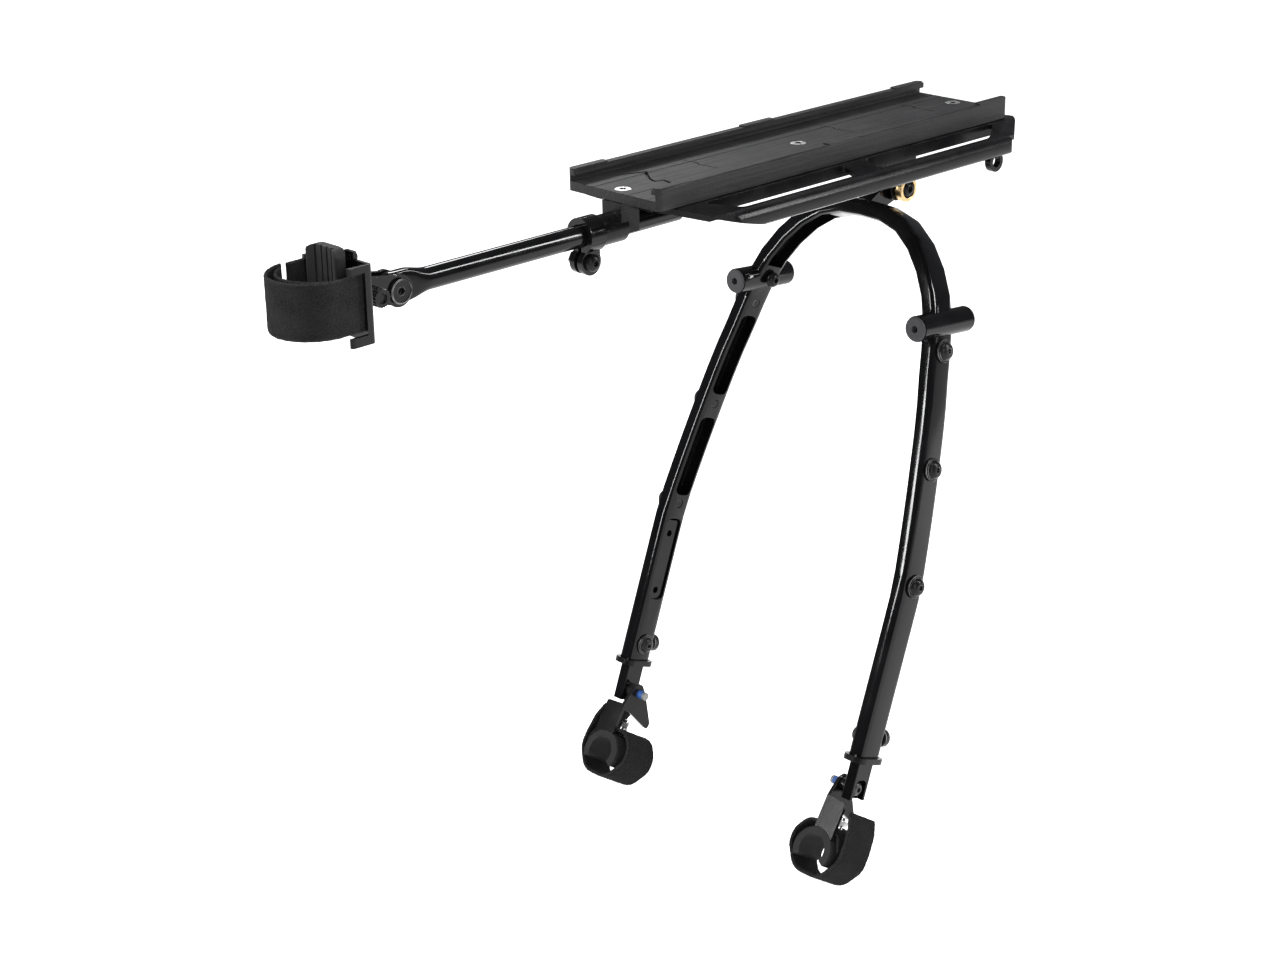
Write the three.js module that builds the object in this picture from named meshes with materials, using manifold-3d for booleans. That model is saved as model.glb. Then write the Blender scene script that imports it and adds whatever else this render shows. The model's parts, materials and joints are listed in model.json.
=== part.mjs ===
// Rear bicycle rack: a deck with sloping side wings, carried by a hooped leg that straddles the wheel and
// by a boom that ends in a seat post clamp. Millimetres: X forward to the seat post, Y left, Z up.
import * as THREE from 'three';
import { mergeVertices } from 'three/addons/utils/BufferGeometryUtils.js';
import Module from 'manifold-3d';

const wasm = await Module();
wasm.setup();

// ---------------------------------------------------------------- driving sizes
const GAP = 0.3; // clearance between two pieces that touch on the real rack
const FINE = 32; // facets round a full circle on the larger round pieces
const COARSE = 16; // facets round a full circle on screws

// The row's origin is the middle of the seat post strap's loop; the sizes below start from the middle of
// the deck's underside.
const POST = { x: 344, z: -7 };

const deck = {
  length: 291, width: 70, floor: 5.25, top: 11.6, lip: 5.5, undercut: 2.8, lipBottom: 8.6, corner: 4,
};
const railPad = { length: 26, height: 0.7 };
const deckScrew = { pitch: 137.5, head: 9.3, shank: 5, headDepth: 2.6, socket: 3 };
const deckLine = { width: 0.8, depth: 0.6, across: [-21.5, -14.5, 12.5] };
const deckSeam = { at: [73, -39, -111], steps: [[0, -19], [-1.5, -10], [0.6, -6.5], [-0.6, 7]] };
const latch = {
  width: 1.8, depth: 1.7,
  steps: [[116.5, -21.5], [104, -16.5], [107, -13.5], [114, -4], [115.5, 2], [110.5, 3.5], [112.5, 11.5]],
};

const spine = { width: 30, thickness: 6, front: 143, rear: -143 };

const wing = {
  inner: 15.9, edge: 34.6, skin: 3, slope: 0.3, railInner: 49.5, railOuter: 59.5, railTop: -3.6,
  railBottom: -14, railRound: 4, frontInner: 137, frontOuter: 110, rearInner: -154, rearOuter: -120,
  corner: 7, taper: 26, lipThick: 2.8,
  ribThick: 2.2, ribBottom: -7.8,
};
const wingWindow = {
  inner: 36.5, outer: 48.3, barFront: 4.3, barRear: -14.5, frontInner: 114, frontOuter: 96,
  rearInner: -130, rearOuter: -112, corner: 3.5,
};
const eyelet = { x: -109, y: 54.5, outer: 12, hole: 6.8, thickness: 4, below: 2.8 };

const boom = {
  radius: 6, wall: 1.5, z: -14.2, tail: 98, eyeX: 296.5, eyeRadius: 8.3, eyeWidth: 7.4, neck: 262,
};
const socket = { rear: 141, front: 158.6, wall: 2.1, slideGap: 0.3 };
const stanchion = { rear: 133, front: 146, width: 15, below: 3 };
const collar = {
  rear: 159, front: 169.8, outer: 9.8, split: 2.4, earDrop: 14.3, earRadius: 7, earHalf: 4.8, boltX: 166,
};
const clampBolt = { shank: 5, head: 9.6, headHeight: 3.4, socket: 3.2, nut: 8 };

const pivot = {
  x: -81.5, z: -35.3, shank: 6, ring: 15.2, ringWidth: 5.2, recess: 2.2, lug: 8, lugWidth: 10,
  cheek: 3.2, boltHead: 9.6,
};

const leg = {
  tilt: 20.7, x: -43, z: -97, across: 10.5, deep: 18, wall: 1.3, round: 3.4, end: 252, spread: 95,
};
const crown = { u: -54.6 };
const legWindow = { width: 13, wellStarts: [24.7, 91.9, 158.6], wellEnds: [76.5, 143.2, leg.end - 41] };
const sideBolt = {
  first: 15.5, pitch: 66.5, head: 10.6, headHeight: 3.4, washer: 13.6, washerHeight: 1.1, shank: 5,
};
const insert = { across: 8, height: 2.4, hole: 4, at: [48.9, 111.7] };
const pegScrew = { back: 1, u: 0, out: 1.7, head: 9.4, headHeight: 3.8, shank: 4, reach: 4 };
const peg = { radius: 7.6, length: 43, tilt: 5, y: 70.5, x: -44, z: -97.2, bore: 6, boreDepth: 9 };
const plug = { depth: 6.5, socket: 4, socketDepth: 4 };
const tubeCollar = { flange: 2.2, up: 3.4, lip: 1.8 };
const legClamp = {
  fromEnd: 12, shank: 5, head: 9.6, headHeight: 3.2, washer: 12.4, washerHeight: 1.2, knob: 10.8,
};

const slider = {
  across: 7, deep: 13.8, top: 160, bottom: 277, pivotU: 270.8, hole: 4.2, holes: [168.6, 205.2],
};

const foot = {
  beta: 34, plateInner: 84.4, plateOuter: 98.8, sheet: 2.2, plateTop: 12, plateBottom: 33, ear: 7.6,
  cradleDown: 41.5, cradleForward: 2.4, cradleY: 88.5, roofReach: 6,
};
const footBolt = { shank: 5, head: 8.4, headHeight: 3, tip: 77.8, nut: 8 };
const cradle = { inner: 8.9, outer: 13, deep: 24, lip: 1.6, mouth: 118 };
const footStrap = { wide: 27, thick: 2.2, round: 19.4, bottom: 15.2 };

const linkPlate = { thick: 3, height: 15, gapHalf: 4.1, front: 325.7, knobX: 313.6, knobZ: -12.6 };
const thumb = { radius: 4.8, length: 8, shank: 4, teeth: 18, tooth: 0.5, faceY: 15.5 };
const padBracket = {
  thick: 2, bottom: -30, top: 9.5, cheekFront: 340.5, bar: 4.6, slotBottom: -25, slotTop: 6, farTop: 5.6,
};
const postPad = { face: 335.5, half: 12.6, top: 15.4, bottom: -29, groove: 1.1, grooves: 4, pitch: 4.2 };
const postStrap = { radius: 22.4, thick: 1.9, wide: 29, z: -9.5 };
const tabBolt = { y: 9.5, z: 10, half: 3.4, head: 5, height: 2, shank: 2.6 };

const look = {
  deck: [0x3c3d3f, 0.62, 0.0], wing: [0x17181a, 0.38, 0.5], gloss: [0x101113, 0.16, 0.3],
  bolt: [0x1b1c1e, 0.4, 0.7],
  silver: [0xc9c9c6, 0.28, 1.0], gold: [0xbd9b62, 0.3, 1.0], rubber: [0x1f2021, 0.85, 0.0],
  strap: [0x2b2c2d, 0.95, 0.0], plastic: [0x202123, 0.5, 0.0], grey: [0x6b6d6f, 0.6, 0.2],
};

// ---------------------------------------------------------------- solid helpers
function solid(geometry) {
  const bare = geometry.clone();
  bare.deleteAttribute('normal');
  bare.deleteAttribute('uv');
  const g = mergeVertices(bare, 1e-5);
  const vertProperties = new Float32Array(g.attributes.position.array);
  const triVerts = new Uint32Array(g.index.array);
  return new wasm.Manifold(new wasm.Mesh({ numProp: 3, vertProperties, triVerts }));
}

function mirrorY(s) {
  return s.mirror([0, 1, 0]);
}

function box(x0, x1, y0, y1, z0, z1) {
  const g = new THREE.BoxGeometry(x1 - x0, y1 - y0, z1 - z0);
  return solid(g).translate([(x0 + x1) / 2, (y0 + y1) / 2, (z0 + z1) / 2]);
}

// A prism of a shape drawn in (a, b), run along the third axis from one value to another.
function prismZ(shape, from, to, curveSegments = 4) {
  const g = new THREE.ExtrudeGeometry(shape, { depth: to - from, bevelEnabled: false, curveSegments });
  return solid(g).translate([0, 0, from]);
}

// The shape's (a, b) become (Y, Z), run along X.
function prismX(shape, from, to, curveSegments = 4) {
  return prismZ(shape, from, to, curveSegments).rotate([90, 0, 0]).rotate([0, 0, 90]);
}

// The shape's (a, b) become (X, Z), run along Y.
function prismY(shape, from, to, curveSegments = 4) {
  return prismZ(shape, -to, -from, curveSegments).rotate([90, 0, 0]);
}

// A round solid from a half outline of (radius, height) pairs that starts and ends on the axis.
function lathe(profile, facets = FINE) {
  const points = profile.map(([r, h]) => new THREE.Vector2(r, h));
  return solid(new THREE.LatheGeometry(points, facets)).rotate([90, 0, 0]);
}

function rod(radius, from, to, facets = FINE) {
  return lathe([[0, from], [radius, from], [radius, to], [0, to]], facets);
}

function alongX(s) {
  return s.rotate([0, 90, 0]);
}

function alongY(s) {
  return s.rotate([-90, 0, 0]);
}

function polygon(points) {
  return new THREE.Shape(points.map(([a, b]) => new THREE.Vector2(a, b)));
}

function regular(acrossFlats, sides) {
  const r = acrossFlats / 2 / Math.cos(Math.PI / sides);
  const points = [];
  for (let i = 0; i < sides; i++) {
    const angle = (2 * Math.PI * i) / sides;
    points.push([r * Math.cos(angle), r * Math.sin(angle)]);
  }
  return polygon(points);
}

// An outline with each corner rounded by the same radius.
function softOutline(points, radius) {
  const shape = new THREE.Shape();
  const n = points.length;
  for (let i = 0; i < n; i++) {
    const before = new THREE.Vector2(...points[(i + n - 1) % n]);
    const corner = new THREE.Vector2(...points[i]);
    const after = new THREE.Vector2(...points[(i + 1) % n]);
    const back = before.clone().sub(corner);
    const ahead = after.clone().sub(corner);
    const cut = Math.min(radius, back.length() * 0.45, ahead.length() * 0.45);
    const start = corner.clone().add(back.setLength(cut));
    const end = corner.clone().add(ahead.setLength(cut));
    if (i === 0) shape.moveTo(start.x, start.y);
    else shape.lineTo(start.x, start.y);
    shape.quadraticCurveTo(corner.x, corner.y, end.x, end.y);
  }
  shape.closePath();
  return shape;
}

function softBox(width, height, radius) {
  const w = width / 2;
  const h = height / 2;
  return softOutline([[-w, -h], [w, -h], [w, h], [-w, h]], radius);
}

function slot(length, width) {
  const r = width / 2;
  const half = length / 2 - r;
  const shape = new THREE.Shape();
  shape.absarc(half, 0, r, -Math.PI / 2, Math.PI / 2, false);
  shape.absarc(-half, 0, r, Math.PI / 2, (3 * Math.PI) / 2, false);
  return shape;
}

function joined(...solids) {
  return solids.reduce((sum, s) => sum.add(s));
}

// A dome-headed screw along +Z: its head's underside at 0, its shank running to -reach.
function buttonScrew({ head, headHeight, shank, reach, hex, washer = 0, washerHeight = 0 }) {
  const h = headHeight + washerHeight;
  const base = washer > 0
    ? [[0, -reach], [shank / 2, -reach], [shank / 2, 0], [washer / 2, 0], [washer / 2, washerHeight]]
    : [[0, -reach], [shank / 2, -reach], [shank / 2, 0]];
  const dome = [
    [head / 2, washerHeight], [head / 2, washerHeight + headHeight * 0.35],
    [head * 0.42, washerHeight + headHeight * 0.75], [head * 0.27, h], [0, h],
  ];
  const key = prismZ(regular(hex, 6), h - headHeight * 0.6, h + 1);
  return lathe([...base, ...dome], COARSE).subtract(key);
}

// ---------------------------------------------------------------- the tilted plane of the hooped leg
// Leg solids are drawn with X across the tube's depth (forward), Y sideways, Z up the leg from the pegs.
function onLeg(s) {
  return s.rotate([0, -leg.tilt, 0]).translate([leg.x, 0, leg.z]);
}

// Foot solids are drawn with X along the stay, Z up the bracket's plate and the pivot at the origin.
function onFoot(s) {
  const t = THREE.MathUtils.degToRad(leg.tilt);
  const down = slider.pivotU;
  const hinge = [leg.x + down * Math.sin(t), 0, leg.z - down * Math.cos(t)];
  return s.rotate([0, -foot.beta, 0]).translate(hinge);
}

function legPath() {
  const half = [
    [19, crown.u + 1.2], [29, crown.u + 4.3], [38, crown.u + 9.4], [47, crown.u + 17.4],
    [54.4, crown.u + 26], [60.2, crown.u + 34.6], [65, crown.u + 43.8], [69, 0], [71.8, 10.5], [75.4, 28],
    [80.6, 51], [86.3, 85], [91.6, 122], [94.7, 150], [leg.spread, 166],
  ];
  const side = half.map(([y, u]) => new THREE.Vector3(0, y, -u));
  const other = half.map(([y, u]) => new THREE.Vector3(0, -y, -u)).reverse();
  const end = new THREE.Vector3(0, leg.spread, -leg.end);
  const start = new THREE.Vector3(0, -leg.spread, -leg.end);
  const middle = new THREE.Vector3(0, 0, -crown.u);
  return new THREE.CatmullRomCurve3([start, ...other, middle, ...side, end], false, 'centripetal');
}

// Where the leg's centreline stands at a distance down from the peg, and how far it leans outward there.
function legAt(u) {
  const points = legPath().getPoints(600).filter((p) => p.y > 0 && p.z < 20);
  const i = points.findIndex((p) => p.z < -u);
  const a = points[i - 1];
  const b = points[i];
  const t = (-u - a.z) / (b.z - a.z);
  const lean = THREE.MathUtils.radToDeg(Math.atan2(b.y - a.y, a.z - b.z));
  return { y: a.y + t * (b.y - a.y), lean };
}

// ---------------------------------------------------------------- platform
// A round-ended groove in the deck's floor through a row of (x, y) points.
function groove(points, width, depth) {
  const runs = points.slice(1).map(([x1, y1], i) => {
    const [x0, y0] = points[i];
    const length = Math.hypot(x1 - x0, y1 - y0) + width;
    const turn = THREE.MathUtils.radToDeg(Math.atan2(y1 - y0, x1 - x0));
    return prismZ(slot(length, width), deck.floor - depth, deck.floor + 1, 2).rotate([0, 0, turn])
      .translate([(x0 + x1) / 2, (y0 + y1) / 2, 0]);
  });
  return joined(...runs);
}

function deckPlate() {
  const w = deck.width / 2;
  const lip = w - deck.lip;
  const under = lip + deck.undercut;
  const right = [[w, 0], [w, deck.top - 1], [w - 1, deck.top], [lip, deck.top], [lip, deck.lipBottom],
    [under, deck.lipBottom], [under, deck.floor]];
  const left = right.map(([y, z]) => [-y, z]).reverse();
  const half = deck.length / 2;
  let plate = prismX(polygon([...right, ...left]), -half, half);
  for (const x of [-half + railPad.length / 2, 0, half - railPad.length / 2]) {
    for (const side of [-1, 1]) {
      const y = side * (w - deck.lip / 2);
      const top = deck.top + railPad.height;
      const pad = prismZ(softBox(railPad.length, deck.lip - 0.6, 1.4), deck.top - 1, top);
      plate = plate.add(pad.translate([x, y, 0]));
    }
  }
  plate = plate.intersect(prismZ(softBox(deck.length, deck.width, deck.corner), -1, deck.top + 2));
  for (const x of [-deckScrew.pitch, 0, deckScrew.pitch]) {
    const hole = joined(
      rod(deckScrew.shank / 2 + GAP, -1, deck.floor + 1, COARSE),
      rod(deckScrew.head / 2 + GAP, deck.floor - deckScrew.headDepth - GAP, deck.floor + 1, COARSE),
    );
    plate = plate.subtract(hole.translate([x, 0, 0]));
  }
  for (const y of deckLine.across) {
    plate = plate.subtract(groove([[-half - 1, y], [half + 1, y]], deckLine.width, deckLine.depth));
  }
  for (const x of deckSeam.at) {
    const seam = deckSeam.steps.map(([dx, y]) => [x + dx, y]);
    plate = plate.subtract(groove(seam, deckLine.width, 2 * deckLine.depth));
  }
  return plate.subtract(groove(latch.steps, latch.width, latch.depth));
}

function deckScrewPart() {
  const { head, shank, headDepth, socket: hex } = deckScrew;
  const body = lathe([
    [0, -3.4], [shank / 2, -3.4], [shank / 2, deck.floor - headDepth], [head / 2, deck.floor - 0.6],
    [head / 2, deck.floor - 0.1], [0, deck.floor - 0.1],
  ], COARSE);
  return body.subtract(prismZ(regular(hex, 6), deck.floor - 2, deck.floor + 1));
}

function spineBar() {
  const bottom = -GAP - spine.thickness;
  let bar = box(spine.rear, stanchion.rear - GAP - 1, -spine.width / 2, spine.width / 2, bottom, -GAP);
  for (const x of [-deckScrew.pitch, 0]) {
    bar = bar.subtract(rod(deckScrew.shank / 2 + GAP, -GAP - 3.6, 1, COARSE).translate([x, 0, 0]));
  }
  return bar;
}

function wingTopAt(y) {
  return -GAP - Math.max(0, y - wing.edge) * wing.slope;
}

function leftWing() {
  const w = wing;
  const skin = polygon([
    [w.inner, wingTopAt(0)], [w.edge, wingTopAt(0)], [w.railInner + 2, wingTopAt(w.railInner + 2)],
    [w.railInner + 2, wingTopAt(w.railInner + 2) - w.skin], [w.edge, -GAP - w.skin],
    [w.inner, -GAP - w.skin],
  ]);
  const railWide = w.railOuter - w.railInner;
  const railTall = w.railTop - w.railBottom;
  const rail = softBox(railWide, railTall, w.railRound);
  const plan = softOutline([
    [w.frontInner + 2, w.inner - 4], [w.frontInner, w.edge - 1], [w.frontOuter, w.railOuter + 0.5],
    [w.rearOuter, w.railOuter + 0.5], [w.rearInner, w.edge], [w.rearInner + 14, w.inner - 4],
  ], w.corner);
  let solidWing = joined(
    prismX(skin, w.rearInner - 1, w.frontInner + 4),
    prismX(rail, w.rearOuter, w.frontInner)
      .translate([0, (w.railInner + w.railOuter) / 2, (w.railTop + w.railBottom) / 2]),
  ).intersect(prismZ(plan, w.railBottom - 1, 1));
  const lip = w.railTop - w.lipThick;
  solidWing = solidWing.subtract(prismY(polygon([
    [w.frontOuter - w.taper, w.railBottom - 1], [w.frontInner + 9, w.railBottom - 1], [w.frontInner + 9, lip],
    [w.frontOuter + 8, lip],
  ]), w.railInner - 1, w.railOuter + 2));
  const n = wingWindow;
  const windows = [
    [[n.barFront, n.inner], [n.frontInner, n.inner], [n.frontOuter, n.outer], [n.barFront, n.outer]],
    [[n.rearInner, n.inner], [n.barRear, n.inner], [n.barRear, n.outer], [n.rearOuter, n.outer]],
  ];
  for (const corners of windows) {
    solidWing = solidWing.subtract(prismZ(softOutline(corners, n.corner), w.railBottom - 1, 1));
  }
  const ribTop = wingTopAt(n.inner) - 1;
  const rib = box(n.rearInner, n.frontInner, n.inner - w.ribThick, n.inner, w.ribBottom, ribTop);
  solidWing = solidWing.add(rib);
  const e = eyelet;
  const middle = [e.x, e.y, w.railBottom - e.below];
  const loop = alongY(rod(e.outer / 2, -e.thickness / 2, e.thickness / 2, 24)).translate(middle);
  const eye = alongY(rod(e.hole / 2, -e.thickness, e.thickness, COARSE)).translate(middle);
  const clear = box(e.x - e.outer, e.x + e.outer, e.y - 9, e.y + 9, w.railBottom + 1, 10);
  return solidWing.add(loop.subtract(clear)).subtract(eye.subtract(clear));
}

// The block under the deck's front end with the sleeve that the boom slides in.
function boomSocket() {
  const outer = boom.radius + socket.slideGap + socket.wall;
  const half = stanchion.width / 2;
  let block = joined(
    box(stanchion.rear, stanchion.front, -half, half, boom.z - stanchion.below, -GAP),
    alongX(rod(outer, socket.rear, socket.front)).translate([0, 0, boom.z]),
  );
  block = block.subtract(alongX(rod(boom.radius + socket.slideGap, 0, 200)).translate([0, 0, boom.z]));
  return block.subtract(rod(deckScrew.shank / 2 + GAP, -3.8, 1, COARSE).translate([deckScrew.pitch, 0, 0]));
}

function clampCollar() {
  const c = collar;
  const ringSolid = alongX(rod(c.outer, c.rear, c.front)).translate([0, 0, boom.z]);
  const bolt = clampBoltAxis();
  const ears = joined(
    alongY(rod(c.earRadius, -c.earHalf, c.earHalf)).translate(bolt),
    box(c.rear + 0.6, c.front - 0.4, -c.earHalf, c.earHalf, bolt[2], boom.z - boom.radius),
  );
  let body = ringSolid.add(ears);
  body = body.subtract(alongX(rod(boom.radius + socket.slideGap, 100, 200)).translate([0, 0, boom.z]));
  body = body.subtract(box(c.rear - 1, c.front + c.earRadius, -c.split / 2, c.split / 2, -60, boom.z));
  return body.subtract(alongY(rod(clampBolt.shank / 2 + GAP, -20, 20, COARSE)).translate(bolt));
}

function clampBoltAxis() {
  return [collar.boltX, 0, boom.z - collar.earDrop];
}

function clampScrew() {
  const reach = collar.earHalf * 2 + 4.2;
  const screw = buttonScrew({
    head: clampBolt.head, headHeight: clampBolt.headHeight, shank: clampBolt.shank, reach,
    hex: clampBolt.socket,
  });
  const [x, , z] = clampBoltAxis();
  return alongY(screw).translate([x, collar.earHalf + GAP, z]);
}

function nutSolid(across, height, hole) {
  return prismZ(regular(across, 6), 0, height).subtract(rod(hole / 2 + GAP, -1, height + 1, COARSE));
}

function clampNut() {
  const [x, , z] = clampBoltAxis();
  const nut = nutSolid(clampBolt.nut, 3.6, clampBolt.shank);
  return alongY(nut).translate([x, -collar.earHalf - GAP - 3.6, z]);
}

// The fork under the deck that the hooped leg swings in.
function legFork() {
  const p = pivot;
  const baseTop = -GAP - spine.thickness - GAP;
  const inner = p.lugWidth / 2 + 0.4;
  const outer = inner + p.cheek;
  let fork = prismZ(softBox(44, 2 * outer + 9, 4), baseTop - 3.4, baseTop).translate([p.x + 3, 0, 0]);
  const cheek = softOutline([
    [-15, baseTop - 1 - p.z], [17, baseTop - 1 - p.z], [11, 8], [8.6, -7], [-8.6, -7], [-11, 8],
  ], 5);
  for (const [from, to] of [[-outer, -inner], [inner, outer]]) {
    fork = fork.add(prismY(cheek, from, to).translate([p.x, 0, p.z]));
  }
  return fork.subtract(alongY(rod(p.shank / 2 + GAP, -20, 20, COARSE)).translate([p.x, 0, p.z]));
}

function forkFace() {
  return pivot.lugWidth / 2 + 0.4 + pivot.cheek;
}

function pivotRing() {
  const from = forkFace() + GAP;
  const to = from + pivot.ringWidth;
  const outline = [
    [pivot.shank / 2 + GAP, from], [pivot.ring / 2, from], [pivot.ring / 2, to - 0.8],
    [pivot.ring / 2 - 0.8, to],
    [pivot.shank / 2 + GAP, to],
  ];
  const sleeve = lathe([[0, from], ...outline.slice(1, 4), [0, to]], FINE);
  const bored = sleeve.subtract(rod(pivot.shank / 2 + GAP, 0, 40, COARSE))
    .subtract(rod(pivot.boltHead / 2 + GAP, to - pivot.recess, to + 1, FINE));
  return alongY(bored).translate([pivot.x, 0, pivot.z]);
}

function pivotBolt() {
  const face = forkFace() + pivot.ringWidth - pivot.recess + 2 * GAP;
  const reach = 2 * face + 3.4;
  const screw = buttonScrew({ head: pivot.boltHead, headHeight: 2.8, shank: pivot.shank, reach, hex: 4 });
  return alongY(screw).translate([pivot.x, face, pivot.z]);
}

function pivotNut() {
  const face = forkFace() + pivot.ringWidth - pivot.recess + 2 * GAP;
  return alongY(nutSolid(8, 3.2, pivot.shank)).translate([pivot.x, -face - 3.2, pivot.z]);
}

// ---------------------------------------------------------------- hooped leg
function hoop() {
  const path = legPath();
  const steps = 44;
  const frames = path.computeFrenetFrames(steps, false);
  const acrossFirst = Math.abs(frames.normals[0].y) > 0.5;
  const inward = Math.sign(acrossFirst ? frames.normals[0].y : frames.binormals[0].y);
  const section = (across, deep, round, shift) => {
    const shape = acrossFirst ? softBox(across, deep, round) : softBox(deep, across, round);
    const points = shape.getPoints(2).map((v) => (acrossFirst ? [v.x + shift, v.y] : [v.x, v.y + shift]));
    return polygon(points.slice(0, -1));
  };
  const along = { steps, extrudePath: path, bevelEnabled: false };
  const run = (shape) => solid(new THREE.ExtrudeGeometry(shape, along));
  const bore = run(section(leg.across - 2 * leg.wall, leg.deep - 2 * leg.wall, leg.round - leg.wall, 0));
  const ends = box(-20, 20, -200, 200, -leg.end - 1, -leg.end + 0.01);
  const tube = run(section(leg.across, leg.deep, leg.round, 0)).subtract(bore).subtract(ends);
  // a band along the inside of the tube's inner wall, from which the windows are cut
  const band = run(section(leg.across * 0.9, legWindow.width, 0.6, inward * leg.across * 0.47));
  return { tube, band };
}

function legWindows(band) {
  let cuts = joined(box(-20, 20, 23, 64, 8, 70), box(-20, 20, -64, -23, 8, 70));
  legWindow.wellStarts.forEach((start, i) => {
    const end = legWindow.wellEnds[i];
    const opening = softBox(legWindow.width + 0.4, end - start, 5);
    const tool = prismY(opening, -120, 120).translate([0, 0, -(start + end) / 2]);
    cuts = cuts.add(tool);
  });
  return band.intersect(cuts);
}

function sideBoltSpots() {
  return [0, 1, 2].map((i) => sideBolt.first + i * sideBolt.pitch);
}

// Turns a solid drawn with +Z pointing outward so that it stands on the left leg's outer face at u.
function onOuterFace(s, u, out = 0) {
  const { y, lean } = legAt(u);
  const half = leg.across / 2 + out;
  const turn = THREE.MathUtils.degToRad(lean);
  const spot = [0, y + half * Math.cos(turn), -u + half * Math.sin(turn)];
  return alongY(s).rotate([lean, 0, 0]).translate(spot);
}

function pegSolid(radius, from, to) {
  return alongX(rod(radius, from, to)).rotate([0, -peg.tilt, 0]).translate([peg.x, peg.y, peg.z]);
}

function archFrame() {
  const { tube, band } = hoop();
  let frame = tube.subtract(legWindows(band));
  const lift = (pivot.z - leg.z) * Math.cos(tiltAngle()) - (pivot.x - leg.x) * Math.sin(tiltAngle());
  const back = (pivot.x - leg.x) * Math.cos(tiltAngle()) + (pivot.z - leg.z) * Math.sin(tiltAngle());
  const crownTop = -crown.u + leg.across / 2 - leg.wall + 0.2;
  const lug = joined(
    prismY(polygon([
      [-leg.deep / 2 + 0.5, crownTop], [leg.deep / 2 - 2, crownTop], [back + 5.4, lift + 5.9],
      [back - 7.6, lift - 2.4],
    ]), -pivot.lugWidth / 2, pivot.lugWidth / 2),
    alongY(rod(pivot.lug, -pivot.lugWidth / 2, pivot.lugWidth / 2)).translate([back, 0, lift]),
  );
  frame = frame.add(lug);
  for (const u of sideBoltSpots()) {
    const hole = onOuterFace(rod(sideBolt.shank / 2 + GAP, -leg.across - 4, 4, COARSE), u);
    frame = frame.subtract(hole).subtract(mirrorY(hole));
  }
  for (const u of insert.at) {
    const boss = prismZ(regular(insert.across, 6), -leg.wall - insert.height, -leg.wall / 2)
      .subtract(rod(insert.hole / 2, -20, -leg.wall - 0.6, COARSE));
    const placed = onOuterFace(boss, u);
    frame = frame.add(placed).add(mirrorY(placed));
  }
  for (const hole of legClampHoles()) {
    frame = frame.subtract(hole).subtract(mirrorY(hole));
  }
  let body = onLeg(frame);
  const half = peg.length / 2;
  const screwHole = onLeg(alongY(rod(pegScrew.shank / 2 + GAP, peg.y - peg.radius - 5, peg.y, COARSE))
    .translate([-pegScrew.back, 0, -pegScrew.u]));
  const stub = pegSolid(peg.radius, -half, half)
    .subtract(pegSolid(peg.bore, half - peg.boreDepth, half + 1))
    .subtract(pegSolid(peg.bore, -half - 1, -half + peg.boreDepth));
  body = body.add(stub).add(mirrorY(stub)).subtract(screwHole).subtract(mirrorY(screwHole));
  const bolt = alongY(rod(pivot.shank / 2 + 0.1 + GAP, -30, 30, COARSE)).translate([pivot.x, 0, pivot.z]);
  return body.subtract(bolt);
}

// The screw that ties each cross tube to the leg, on the leg's inner face.
function pegTieScrew() {
  const screw = buttonScrew({
    head: pegScrew.head, headHeight: pegScrew.headHeight, shank: pegScrew.shank, reach: pegScrew.reach,
    hex: 3,
  });
  const seat = [-pegScrew.back, peg.y - peg.radius - pegScrew.out, -pegScrew.u];
  return onLeg(alongY(screw.rotate([180, 0, 0])).translate(seat));
}

function tiltAngle() {
  return THREE.MathUtils.degToRad(leg.tilt);
}

function pegPlug(end) {
  const half = peg.length / 2;
  const radius = peg.bore - GAP;
  const body = lathe([
    [0, half - plug.depth], [radius, half - plug.depth], [radius, half], [peg.radius - 0.4, half + GAP],
    [peg.radius - 0.4, half + 1.2], [peg.radius - 1.4, half + 1.8], [0, half + 1.8],
  ]).subtract(prismZ(regular(plug.socket, 6), half + 1.8 - plug.socketDepth, half + 3));
  const placed = end > 0 ? alongX(body) : alongX(body).rotate([0, 180, 0]);
  return placed.rotate([0, -peg.tilt, 0]).translate([peg.x, peg.y, peg.z]);
}

function sideScrew(u) {
  const screw = buttonScrew({
    head: sideBolt.head, headHeight: sideBolt.headHeight, shank: sideBolt.shank, hex: 3,
    reach: leg.across + 0.2, washer: sideBolt.washer, washerHeight: sideBolt.washerHeight,
  });
  return onLeg(onOuterFace(screw, u, GAP));
}

function legClampU() {
  return leg.end - legClamp.fromEnd;
}

function legClampHoles() {
  const r = legClamp.shank / 2 + GAP;
  const inner = alongY(rod(r, -leg.across, -leg.wall / 2, COARSE)).translate([0, leg.spread, -legClampU()]);
  const rear = alongX(rod(r, -leg.deep, -leg.wall / 2, COARSE)).translate([0, leg.spread, -legClampU()]);
  return [inner, rear];
}

function innerClampScrew() {
  const reach = (leg.across - slider.across) / 2;
  const screw = buttonScrew({
    head: legClamp.head, headHeight: legClamp.headHeight, shank: legClamp.shank, reach, hex: 3,
    washer: legClamp.washer, washerHeight: legClamp.washerHeight,
  });
  const face = leg.spread - leg.across / 2 - GAP;
  return onLeg(alongY(screw.rotate([180, 0, 0])).translate([0, face, -legClampU()]));
}

function rearClampKnob() {
  const reach = (leg.deep - slider.deep) / 2;
  const r = legClamp.knob / 2;
  const knob = lathe([
    [0, -reach], [legClamp.shank / 2, -reach], [legClamp.shank / 2, 0], [r * 0.7, 0], [r, 1.2], [r, 4.4],
    [r * 0.75, 6], [0, 6.4],
  ], COARSE);
  return onLeg(alongX(knob.rotate([0, 180, 0])).translate([-leg.deep / 2 - GAP, leg.spread, -legClampU()]));
}

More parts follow.
